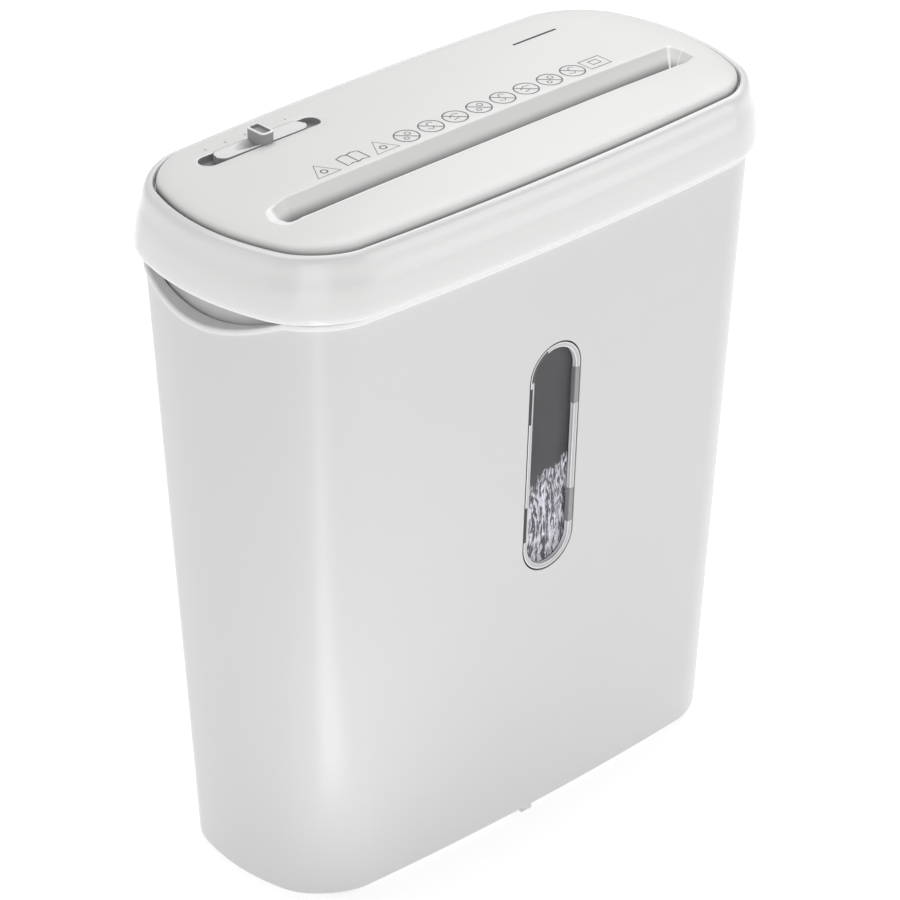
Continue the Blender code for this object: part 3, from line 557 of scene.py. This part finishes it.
# ---- head band ----------------------------------------------------------------------------
BAND_OUTER = (                          # (growth, z) of the section
    (-2.9, 295.5), (0.6, 295.5), (1.5, 295.72), (1.98, 296.3), (2.2, 297.4), (2.25, 299.0),
    (1.9, 302.5), (0.7, 309.2), (-0.9, 315.0), (-2.1, 320.0), (-3.2, 322.4), (-4.4, 323.3),
    (-5.3, 323.6), (-6.1, 323.5), (-6.6, 322.8))
BAND_INNER = (
    (-6.9, 319.2), (-13.0, 319.2), (-13.0, 316.8), (-5.8, 316.8), (-2.6, 311.0), (-1.8, 303.0),
    (-2.2, 300.4), (-5.0, 299.4), (-5.0, 297.6), (-2.9, 297.6))
GLAND_AT = (104.0, 65, 306.0)
GLAND_HOLE_R, GLAND_HOLE_LENGTH = 5, 50


def build_band():
    section = spline(BAND_OUTER, 4) + list(BAND_INNER)
    rings = [head_ring(grow, z) for grow, z in section]
    band = link("band_shell", loft("band_shell", rings, closed=True), band_white, "head",
                replaces=["head_band"])
    bm = bmesh.new()
    across = Matrix.Translation(GLAND_AT) @ Matrix.Rotation(pi / 2, 4, "X")
    bmesh.ops.create_cone(bm, cap_ends=True, segments=32, radius1=GLAND_HOLE_R,
                          radius2=GLAND_HOLE_R, depth=GLAND_HOLE_LENGTH, matrix=across)
    carve(band, new_mesh(bm, "gland_hole"))


build_band()

# ---- top cover ----------------------------------------------------------------------------
FIELD = -20.0                           # growth of the outline where the domed field starts
FIELD_Z, DOME = 326.9, 1.25
COVER_EDGE = ((-7.9, 319.8), (-7.6, 321.5), (-7.8, 323.4), (-8.4, 324.8), (-9.8, 325.8),
              (-13.0, 326.5), (-20.0, 326.9))
SKIRT_BOTTOM, COVER_UNDER = 319.5, 322.6
field_outline = outline(HEAD, FIELD, HEAD_REAR_CORNER)
polar = sorted((atan2(y, x), hypot(x, y)) for x, y in field_outline)
polar_angle = np.array([a for a, _ in polar])
polar_reach = np.array([r for _, r in polar])


def cover_z(x, y):
    """Height of the gently domed cover."""
    reach = float(np.interp(atan2(y, x), polar_angle, polar_reach, period=2 * pi))
    s = min(1.0, hypot(x, y) / reach)
    return FIELD_Z + DOME * (1 - s * s)


# outlines of the slot (x, y, fillet radius): on the cover's surface, inside its lip, in the throat
SLOT_TOP = (
    (-104, -8.6, 8), (-117.0, -13.5, 4), (-121.0, -21.0, 4), (-119.0, -29.0, 4.5),
    (-103, -28.4, 6), (114, -27.9, 4), (121.2, -25.5, 3), (121.8, -17.0, 3), (120.4, -9.6, 2.5))
SLOT_LIP = (
    (-103, -10.0, 7), (-112.9, -12.9, 3), (-116.4, -21.0, 3), (-115.2, -26.6, 2.5),
    (-103, -27.2, 4), (113.6, -27.1, 3), (119.8, -25.0, 2), (120.4, -17.2, 2.6), (119.0, -10.6, 2))
SLOT_LOW = (
    (-108, -22.5, 0.8), (-110.3, -22.9, 0.3), (-111.2, -24.3, 0.4), (-111, -26.5, 0.3),
    (-109.5, -26.8, 0.3), (110.2, -26.8, 0.3), (111.2, -26.0, 0.3), (110.2, -23.4, 0.5),
    (109.0, -22.5, 0.5))
SLOT_LIP_DROP, SLOT_LIP_TURN, SLOT_LIP_ROWS = 0.6, 50, 4
SLOT_FRONT_DROP = 0.3                   # share of the lip's drop along the flatter front edge
SLOT_FRONT_Y, SLOT_FRONT_HALF = -25, 112
# painted highlight: the slot's lip at the left and in front, and the right end's creases, get the
# lighter white
LIT_LEFT_X, LIT_RIGHT_X = -111, 118     # the lip catches the light at the left and in front
FUNNEL_STEPS = (0.25, 0.5, 0.75, 1.0)
CREASE_CORNERS = (7, 8)                 # corners of the right end whose edges catch the light
SLOT_Z, SLOT_MID, SLOT_END = 318.5, 315.5, 312.2        # top, middle and bottom of the throat
SLOT_BACK_Z, SLOT_WALL, FUNNEL_WALL = 315.0, 2.0, 1.0   # the way back up behind the throat
POCKET = (-74.75, 38.5, 33.0, 5.2)      # centre x and y, half length, half width
POCKET_Z = 323.8
POCKET_LIP = 0.5
LINER_SECTION = ((0.5, 326.9), (0.55, 325.5), (0.6, POCKET_Z + 0.5), (1.1, POCKET_Z))


def on_cover(points, drop=0.0):
    return [(x, y, cover_z(x, y) - drop) for x, y in points]


def inside(points, x, y):
    hit = False
    for (x0, y0), (x1, y1) in zip(points, points[1:] + points[:1]):
        if (y0 > y) != (y1 > y) and x < (x1 - x0) * (y - y0) / (y1 - y0) + x0:
            hit = not hit
    return hit


def fill(bm, border, holes, height, pitch=5.0):
    """Fill a flat-ish field between vertex rings, with a regular grid of points inside it."""
    loops = [border, *holes]
    flat = [[(v.co.x, v.co.y) for v in ring] for ring in loops]
    verts = [v for ring in loops for v in ring]
    points = [Vector(p) for ring in flat for p in ring]
    edges = []
    start = 0
    for ring in flat:
        edges += [(start + i, start + (i + 1) % len(ring)) for i in range(len(ring))]
        start += len(ring)
    near = np.array([p for ring in flat for p in ring])
    xs = np.arange(near[:, 0].min(), near[:, 0].max(), pitch) + pitch / 2
    ys = np.arange(near[:, 1].min(), near[:, 1].max(), pitch) + pitch / 2
    for x in xs:
        for y in ys:
            if np.hypot(near[:, 0] - x, near[:, 1] - y).min() < pitch * 0.6:
                continue
            if inside(flat[0], x, y) and not any(inside(h, x, y) for h in flat[1:]):
                points.append(Vector((x, y)))
                verts.append(bm.verts.new((x, y, height(x, y))))
    out = delaunay_2d_cdt(points, edges, [], 0, 1e-5)
    origin = [ids[0] for ids in out[3]]
    for tri in out[2]:
        cx = sum(out[0][i].x for i in tri) / 3
        cy = sum(out[0][i].y for i in tri) / 3
        if inside(flat[0], cx, cy) and not any(inside(h, cx, cy) for h in flat[1:]):
            bm.faces.new([verts[origin[i]] for i in tri])


def shrink(points, amount):
    """Move each point of a closed outline inwards by an amount."""
    made = []
    count = len(points)
    area = sum(u[0] * v[1] - v[0] * u[1] for u, v in zip(points[-1:] + points[:-1], points))
    turn = 1 if area > 0 else -1
    for i, (x, y) in enumerate(points):
        ax, ay = points[(i + 1) % count]
        bx, by = points[i - 1]
        dx, dy = ax - bx, ay - by
        size = hypot(dx, dy) or 1
        made.append((x - turn * dy / size * amount, y + turn * dx / size * amount))
    return made


def fillet_rings(points, radius, steps):
    """Rings that roll from the cover's surface over an edge into a recess."""
    return [on_cover(shrink(points, radius * sin(t)), radius * (1 - cos(t)))
            for t in quarter(steps)]


def densify(points, longest=4.0):
    full = []
    for (x0, y0), (x1, y1) in zip(points, points[1:] + points[:1]):
        full.append((x0, y0))
        count = int(hypot(x1 - x0, y1 - y0) / longest)
        full += [(x0 + (x1 - x0) * k / (count + 1), y0 + (y1 - y0) * k / (count + 1))
                 for k in range(1, count + 1)]
    return full


def slot_points(longest=4.0):
    """Matching dense outlines of the slot's three levels, and the corner each point belongs to."""
    levels = [rounded_polygon(corners) for corners in (SLOT_TOP, SLOT_LIP, SLOT_LOW)]
    total = len(levels[0])
    per_corner = total // len(SLOT_TOP)
    dense, owner = [[], [], []], []
    for i in range(total):
        j = (i + 1) % total
        (x0, y0), (x1, y1) = levels[0][i], levels[0][j]
        count = int(hypot(x1 - x0, y1 - y0) / longest) + 1
        within = i % per_corner
        for k in range(count):
            t = k / count
            for level, made in zip(levels, dense):
                made.append((level[i][0] + (level[j][0] - level[i][0]) * t,
                             level[i][1] + (level[j][1] - level[i][1]) * t))
            owner.append(i // per_corner if 1 <= within < per_corner - 2 else -1)
    return *dense, owner


def slot_rings(tops, inners, lows):
    """Rings of the slot: over its lip, down the funnel and throat, and back up behind them."""
    full = radians(SLOT_LIP_TURN)
    rings = []
    for k in range(SLOT_LIP_ROWS + 1):
        t = radians(SLOT_LIP_TURN * k / SLOT_LIP_ROWS)
        run = sin(t) / sin(full)
        fall = SLOT_LIP_DROP * (1 - cos(t)) / (1 - cos(full))
        ring = []
        for (x0, y0), (x1, y1) in zip(tops, inners):
            x, y = x0 + (x1 - x0) * run, y0 + (y1 - y0) * run
            at_front = y0 < SLOT_FRONT_Y and abs(x0) < SLOT_FRONT_HALF
            ring.append((x, y, cover_z(x, y) - fall * (SLOT_FRONT_DROP if at_front else 1)))
        rings.append(ring)
    lip_end = rings[-1]
    for t in FUNNEL_STEPS:
        rings.append([(x0 + (u - x0) * t, y0 + (v - y0) * t, z0 + (SLOT_Z - z0) * t)
                      for (x0, y0, z0), (u, v) in zip(lip_end, lows)])
    rings += [[(x, y, z) for x, y in lows] for z in (SLOT_MID, SLOT_END)]
    rings += [[(x, y, z) for x, y in shrink(lows, -SLOT_WALL)] for z in (SLOT_END, SLOT_BACK_Z)]
    rings.append([(x, y, COVER_UNDER) for x, y in shrink(tops, -FUNNEL_WALL)])
    return rings


def lit_slot_faces(tops, owner):
    """Numbers of the slot's faces given a painted highlight: left and front lip, right end's
    creases.
    """
    lit = []
    for row in range(SLOT_LIP_ROWS + len(FUNNEL_STEPS) - 1):
        for i, (x, y) in enumerate(tops):
            facing = x < LIT_LEFT_X or (y < SLOT_FRONT_Y and x < LIT_RIGHT_X)
            if (facing and row < SLOT_LIP_ROWS) or owner[i] in CREASE_CORNERS:
                lit.append(row * len(tops) + i)
    return lit


def pocket_outline():
    """Dense outline of the slider's recess, with round ends."""
    px, py, length, width = POCKET
    return densify([(px + s * (length - width) + width * cos(t), py + width * sin(t))
                    for s, start in ((1, -90), (-1, 90))
                    for t in (radians(start + 11.25 * k) for k in range(17))])


def build_pocket_liner(pocket):
    """Wall and floor of the slider's recess, open at the top, in a dark grey that is painted shade.
    """
    bm = bmesh.new()
    rows = add_rings(bm, [[(x, y, z) for x, y in shrink(pocket, inset)]
                          for inset, z in LINER_SECTION], caps=False)
    bm.faces.new(rows[-1])
    link("pocket_liner", new_mesh(bm, "cup", 50), recess_shade_grey, "head")


def build_cover():
    bm = bmesh.new()
    rim = [head_ring(grow, z) for grow, z in spline(COVER_EDGE, 4)]
    rim[-1] = on_cover(field_outline)
    skirt = [head_ring(-10.9, COVER_UNDER), head_ring(-10.9, SKIRT_BOTTOM),
             head_ring(-8.2, SKIRT_BOTTOM)]
    border = add_rings(bm, skirt + rim, caps=False)
    edge_end = len(bm.faces)

    tops, inners, lows, owner = slot_points()
    slot = add_rings(bm, slot_rings(tops, inners, lows), caps=False)
    lit = [edge_end + number for number in lit_slot_faces(tops, owner)]

    pocket = pocket_outline()
    pocket_start = len(bm.faces)
    hole = add_rings(bm, fillet_rings(pocket, POCKET_LIP, 3), caps=False)
    lit += range(pocket_start, len(bm.faces))
    build_pocket_liner(pocket)

    fill(bm, border[-1], [slot[0], hole[0]], cover_z)
    fill(bm, border[0], [slot[-1]], lambda x, y: COVER_UNDER, 12.0)
    cover = link("cover_shell", new_mesh(bm, "cover_shell", 40), cover_white, "head",
                 replaces=["top_cover"])
    add_looks(cover, cover_edge_shade, cover_lip_highlight)
    # painted shade on the faces of the cover's rounded edge
    paint(cover, range(edge_end), 1)
    # painted highlight on the slot's lit lip faces and the pocket's rim
    paint(cover, lit, 2)


build_cover()

# ---- mode slider --------------------------------------------------------------------------
slider_low, slider_high = node_box("mode_slider")
SLIDER_X = (slider_low[0] + slider_high[0]) / 2
SLIDER_Y = (slider_low[1] + slider_high[1]) / 2
SLIDER_HALF, SLIDER_R = 24.4, 4.3
PLATE_BASE, PLATE_TOP = POCKET_Z + 0.15, 327.9
TAB_X, TAB_HALF = 0.4, (3.4, 5.6)
TAB_TOP = slider_high[2] + 0.9
TAB_SECTION = (                         # (inset, z) up the outside and down into the dished top
    (0.0, 324.5), (0.0, TAB_TOP - 0.5), (0.12, TAB_TOP - 0.18), (0.4, TAB_TOP), (0.8, TAB_TOP),
    (1.0, TAB_TOP - 0.15), (1.1, TAB_TOP - 0.6), (1.2, TAB_TOP - 1.3), (1.5, TAB_TOP - 1.5))
# SIDE is painted shade on the tab's sides, RING a painted highlight on its top ring, SHADE painted
# shade on the plate's edges and in the dish
SIDE, RING, SHADE = 1, 2, 3             # looks of the slider, after its plate
SCOOP_END, SCOOP_X, SCOOP_Y = -1.0, -2.0, 0.2
SCOOP_HALF_X, SCOOP_HALF_Y, SCOOP_DEPTH = 13.0, 3.9, 1.7


def scoop(x, y):
    """Depth of the finger scoop beside the thumb tab."""
    if x > SCOOP_END:
        return 0.0
    far = ((x - SCOOP_X) / SCOOP_HALF_X) ** 2 + ((y - SCOOP_Y) / SCOOP_HALF_Y) ** 2
    return SCOOP_DEPTH * max(0.0, 1 - far) ** 0.7


def add_plate(bm, columns=96, across=16):
    """Flat plate with round ends and a scoop, its rim slightly rounded."""
    grid = []
    for i in range(columns + 1):
        x = -SLIDER_HALF * cos(pi * i / columns)
        over = max(0.0, abs(x) - (SLIDER_HALF - SLIDER_R))
        w = sqrt(max(0.0, SLIDER_R ** 2 - over ** 2))
        grid.append([(x, w * sin(pi / 2 * (-1 + 2 * j / across))) for j in range(across + 1)])
    tops = [[bm.verts.new((x, y, PLATE_TOP - scoop(x, y))) for x, y in row] for row in grid]
    lows = [[bm.verts.new((x, y, PLATE_BASE)) for x, y in row] for row in grid]
    for rows, flip in ((tops, False), (lows, True)):
        for i in range(columns):
            for j in range(across):
                quad = (rows[i][j], rows[i + 1][j], rows[i + 1][j + 1], rows[i][j + 1])
                bm.faces.new(quad[::-1] if flip else quad)
    for i in range(columns):
        for j in (0, across):
            bm.faces.new((tops[i][j], tops[i + 1][j], lows[i + 1][j], lows[i][j]))
    bmesh.ops.remove_doubles(bm, verts=bm.verts, dist=1e-4)
    rim = [e for e in bm.edges if all(v.co.z > PLATE_TOP - 0.001 for v in e.verts)
           and len(e.link_faces) == 2 and e.calc_face_angle(0) > 1]
    bmesh.ops.bevel(bm, geom=rim, offset=0.25, segments=2, affect="EDGES")


def tab_ring(inset, z):
    corners = [(TAB_X + sx * (TAB_HALF[0] - inset), sy * (TAB_HALF[1] - inset),
                max(0.5, 2.2 - inset * 0.6)) for sx, sy in ((1, -1), (1, 1), (-1, 1), (-1, -1))]
    return [(x, y, z) for x, y in rounded_polygon(corners, 6)]


def slider_look(x, y, z, upright):
    """Look of a slider face, from its middle and from whether it stands upright."""
    dx, dy = abs(x - TAB_X), abs(y)
    on_tab = dx < TAB_HALF[0] + 0.1 and dy < TAB_HALF[1] + 0.1 and z > PLATE_TOP + 1
    in_dish = dx < TAB_HALF[0] - 0.95 and dy < TAB_HALF[1] - 0.95 and z < TAB_TOP
    if not on_tab:
        return SHADE if upright else 0
    if in_dish:
        return SHADE
    return SIDE if upright and z < TAB_TOP - 0.5 else RING


def build_slider():
    """Plate with a finger scoop and an upright thumb tab with a dished top."""
    bm = bmesh.new()
    add_plate(bm)
    add_rings(bm, [tab_ring(inset, z) for inset, z in TAB_SECTION])
    slider = link("slider_thumb", new_mesh(bm, "slider_thumb", 42), slider_white, "slider",
                  (SLIDER_X, SLIDER_Y, 0), replaces=["mode_slider"])
    # painted shade on the tab's sides, the plate's edges and the dish; painted highlight on the
    # tab's top ring
    add_looks(slider, thumb_side_shade, cover_lip_highlight, recess_shade_grey)
    for face in slider.data.polygons:
        face.material_index = slider_look(*(face.center / MM), abs(face.normal.z) < 0.5)


build_slider()

# ---- printed icons ------------------------------------------------------------------------
PRINT_LIFT = 0.04                       # height of the print over the cover
LINE, FINE_LINE, TICK_LINE, MARK_LINE = 0.62, 0.42, 0.3, 1.3
ICON_Y, ICON_R = -1.2, 5.6
TRIANGLE_X = (-75.2, -42.3)
BOOK_X, FRAME_X = -58.3, 83.1
CIRCLE_X = [-27.7 + 13.9 * k for k in range(8)]


def stroke(bm, points, width=LINE, closed=False):
    """Thin printed line that follows the cover's surface."""
    path = [Vector(p) for p in points]
    count = len(path)
    rows = []
    for i, p in enumerate(path):
        back = path[i - 1] if (i or closed) else path[i]
        ahead = path[(i + 1) % count] if (i < count - 1 or closed) else path[i]
        run = (ahead - back).normalized()
        side = Vector((-run.y, run.x)) * width / 2
        rows.append([bm.verts.new((q.x, q.y, cover_z(q.x, q.y) + PRINT_LIFT))
                     for q in (p - side, p + side)])
    for i in range(count if closed else count - 1):
        a, b = rows[i], rows[(i + 1) % count]
        bm.faces.new((a[0], b[0], b[1], a[1]))


def arc(cx, cy, r, start=0, end=360, steps=28):
    return [(cx + r * cos(radians(start + (end - start) * k / steps)),
             cy + r * sin(radians(start + (end - start) * k / steps))) for k in range(steps + 1)]


def icon_stroke(bm, cx, points, width=LINE, closed=False):
    """Stroke through points given from the middle of an icon."""
    stroke(bm, [(cx + x, ICON_Y + y) for x, y in points], width, closed)


def icon_ring(bm, cx, x, y, r, width=LINE, steps=28):
    icon_stroke(bm, cx, arc(x, y, r, steps=steps)[:-1], width, True)


def build_icons():
    """Generic signs beside the slot: two triangles, an open book, barred circles and a frame."""
    bm = bmesh.new()
    for cx in TRIANGLE_X:
        icon_stroke(bm, cx, [(-6.2, -5), (6.2, -5), (0, 5.6)], closed=True)
        icon_ring(bm, cx, 0, -1.4, 1.5)
    for side in (-1, 1):
        icon_stroke(bm, BOOK_X, [(0, -4.2), (side * 2.6, -3.4), (side * 6.0, -4.4),
                                 (side * 6.0, 3.6), (side * 2.6, 4.6), (0, 3.8)])
    icon_stroke(bm, BOOK_X, [(0, -4.2), (0, 3.8)])
    reach = ICON_R * cos(radians(45))
    for k, cx in enumerate(CIRCLE_X):
        icon_ring(bm, cx, 0, 0, ICON_R)
        icon_stroke(bm, cx, [(-reach, reach), (reach, -reach)])
        if k % 3 == 0:
            icon_ring(bm, cx, -1.6, -1.8, 1.1, FINE_LINE, 12)
            icon_ring(bm, cx, 1.9, 1.7, 1.3, FINE_LINE, 12)
        elif k % 3 == 1:
            icon_stroke(bm, cx, [(-3, -1.2), (-0.6, -2.4), (1, -0.4)], FINE_LINE)
            icon_stroke(bm, cx, arc(1.2, 1.9, 1.6, 20, 200, 10), FINE_LINE)
        else:
            icon_stroke(bm, cx, [(-2.8, 0.4), (0.4, 2.6), (3, 1.6)], FINE_LINE)
            icon_stroke(bm, cx, [(-2.4, -2.2), (1.4, -1.4)], FINE_LINE)
    icon_stroke(bm, FRAME_X, [(-6, -4.4), (6, -4.4), (6, 4.4), (-6, 4.4)], closed=True)
    icon_stroke(bm, FRAME_X, [(-2.2, -1.4), (2.6, -1.4), (2.6, 2.2), (-2.2, 2.2)], closed=True)
    link("printed_icons", new_mesh(bm, "printed_icons"), ink, "head")


def build_marks():
    """Ticks beside the slider and a plain bar at the rear right."""
    bm = bmesh.new()
    for k in range(5):
        x = SLIDER_X - 22 + 11 * k
        stroke(bm, [(x, SLIDER_Y + 8.6), (x, SLIDER_Y + 10.2)], TICK_LINE)
    link("slider_scale", new_mesh(bm, "slider_scale"), ink, "head")
    bm = bmesh.new()
    stroke(bm, [(70 + k, 36.5) for k in range(27)], MARK_LINE)
    link("plain_mark", new_mesh(bm, "plain_mark"), dark_ink, "head")


build_icons()
build_marks()
# ---- shredded paper behind the window -----------------------------------------------------
random.seed(7)
SHREDS, SHRED_STEPS, SHRED_T = 430, 9, 0.12
SHRED_X, SHRED_Y, SHRED_Z = (-26, 30), (-51.5, -45), (118, 182)
SHRED_LENGTH, SHRED_WIDTH = (16, 40), (1.0, 1.8)
SHRED_TILT = (0.30, 0.22)               # mean and spread
SHRED_BEND, SHRED_FACE, SHRED_TWIST = (-0.45, 0.45), (-0.8, 0.8), 1.4
HEAP_Z, HEAP_RISE = 165.5, 0.5          # height of the heap at the window's middle, and its slope
CLEAR_MIDDLE, CLEAR_EDGE = 5.8, 5.3     # least distance of a strip behind the wall's face


def heap_top(x, y):
    """Surface of the heap of shreds: higher towards the right of the window."""
    return HEAP_Z + HEAP_RISE * (x - WINDOW_X) + 1.5 * sin(x * 0.6) - 0.9 * (y + 52)


def behind_window(z, clear):
    return window_y + clear + (window_mid - z) * WALL_SLOPE


def add_shred(bm):
    """One bent and twisted strip, held down at the surface of the heap."""
    x = random.uniform(*SHRED_X)
    y = random.uniform(*SHRED_Y)
    length = random.uniform(*SHRED_LENGTH)
    z = random.uniform(*SHRED_Z)
    tilt = random.gauss(*SHRED_TILT)
    width = random.uniform(*SHRED_WIDTH)
    bend = random.uniform(*SHRED_BEND)
    face = random.uniform(*SHRED_FACE)
    tip = x + sin(tilt) * length / 2
    z -= max(0.0, z + cos(tilt) * length * 0.46 - heap_top(tip, y))
    rows = []
    for k in range(SHRED_STEPS + 1):
        t = k / SHRED_STEPS - 0.5
        angle = tilt + bend * t
        cx = x + sin(angle) * length * t
        cz = z + cos(angle) * length * t * 0.92
        cy = max(y + 2.2 * sin(3 * t + face), behind_window(cz, CLEAR_MIDDLE))
        roll = face + SHRED_TWIST * t
        dx, dy = cos(roll) * width / 2, sin(roll) * width / 2
        rows.append([bm.verts.new((cx - dx, max(cy - dy, behind_window(cz, CLEAR_EDGE)), cz)),
                     bm.verts.new((cx + dx, cy + abs(dy), cz))])
    for a, b in zip(rows, rows[1:]):
        bm.faces.new((a[0], a[1], b[1], b[0]))


def build_shreds():
    bm = bmesh.new()
    for _ in range(SHREDS):
        add_shred(bm)
    shreds = link("paper_shreds", new_mesh(bm, "shreds", 80), shred_paper, "bin")
    thick = shreds.modifiers.new("paper", "SOLIDIFY")
    thick.thickness = SHRED_T * MM
    thick.offset = 0


build_shreds()

# ---- studio: floor, lights and camera -----------------------------------------------------
LIGHTS = {                              # name: (place, size, watts)
    "top": ((100, 500, 1900), (1600, 1200), 11),
    "top_right": ((700, 300, 1000), (800, 600), 3.2),
    "front": ((-1250, -1350, 500), (900, 900), 3.2),
    "left": ((-1500, 500, 700), (900, 900), 1),
    "right": ((1200, -1500, 600), (900, 900), 5)}
LIGHT_AIM = (0, 0, 170)
CORNER_STRIP = ((-314, -304, 5), (60, 520), 0.3)        # lights the bin's near corner
CORNER_STRIP_TURN = (pi, 0, radians(137))
WORLD_LIGHT = 0.45
FLOOR_HALF, FLOOR_GREY, FLOOR_GLOW = 20000, 0.9, 0.46
CAMERA_AZIMUTH, CAMERA_ELEVATION = radians(-42.98), radians(29.55)
CAMERA_AIM, CAMERA_DISTANCE = (0, 0, 173), 1889.06
CAMERA_RIGHT, CAMERA_UP = -1.29, -6.55
SENSOR, LENS = 36, 171.2596


def add_lamp(name, place, size, power, turn):
    lamp = bpy.data.lights.new(name, "AREA")
    lamp.shape, lamp.size, lamp.size_y = "RECTANGLE", size[0] * MM, size[1] * MM
    lamp.energy = power
    holder = bpy.data.objects.new(name, lamp)
    bpy.context.scene.collection.objects.link(holder)
    holder.location = Vector(place) * MM
    holder.rotation_euler = turn
    holder.visible_camera = False


def build_floor():
    bm = bmesh.new()
    bmesh.ops.create_grid(bm, x_segments=2, y_segments=2, size=FLOOR_HALF)
    floor = bpy.data.objects.new("floor", new_mesh(bm, "floor"))
    bpy.context.scene.collection.objects.link(floor)
    pale, tree, shader = shader_for("pale_floor")
    feed(tree, shader, Base_Color=grey(FLOOR_GREY), Roughness=0.9, Specular_IOR_Level=0.1,
         Emission_Color=grey(1), Emission_Strength=FLOOR_GLOW)
    floor.data.materials.append(pale)


def build_lights():
    world = bpy.data.worlds.new("studio")
    bpy.context.scene.world = world
    world.use_nodes = True
    feed(world.node_tree, world.node_tree.nodes["Background"], Color=grey(1), Strength=WORLD_LIGHT)
    for name, (place, size, power) in LIGHTS.items():
        aim = Vector(LIGHT_AIM) - Vector(place)
        add_lamp(name, place, size, power, aim.to_track_quat("-Z", "Y").to_euler())
    add_lamp("corner_strip", *CORNER_STRIP, CORNER_STRIP_TURN)
    bpy.context.scene.view_settings.view_transform = "Standard"


def build_camera():
    flat = cos(CAMERA_ELEVATION)
    back = Vector((sin(CAMERA_AZIMUTH) * flat, -cos(CAMERA_AZIMUTH) * flat, sin(CAMERA_ELEVATION)))
    right = Vector((cos(CAMERA_AZIMUTH), sin(CAMERA_AZIMUTH), 0))
    up = back.cross(right)
    eye = Vector(CAMERA_AIM) + back * CAMERA_DISTANCE + right * CAMERA_RIGHT + up * CAMERA_UP
    lens = bpy.data.cameras.new("camera")
    lens.sensor_width, lens.lens = SENSOR, LENS
    camera = bpy.data.objects.new("camera", lens)
    bpy.context.scene.collection.objects.link(camera)
    camera.location = eye * MM
    camera.rotation_euler = (-back).to_track_quat("-Z", "Y").to_euler()
    bpy.context.scene.camera = camera


build_floor()
build_lights()
build_camera()
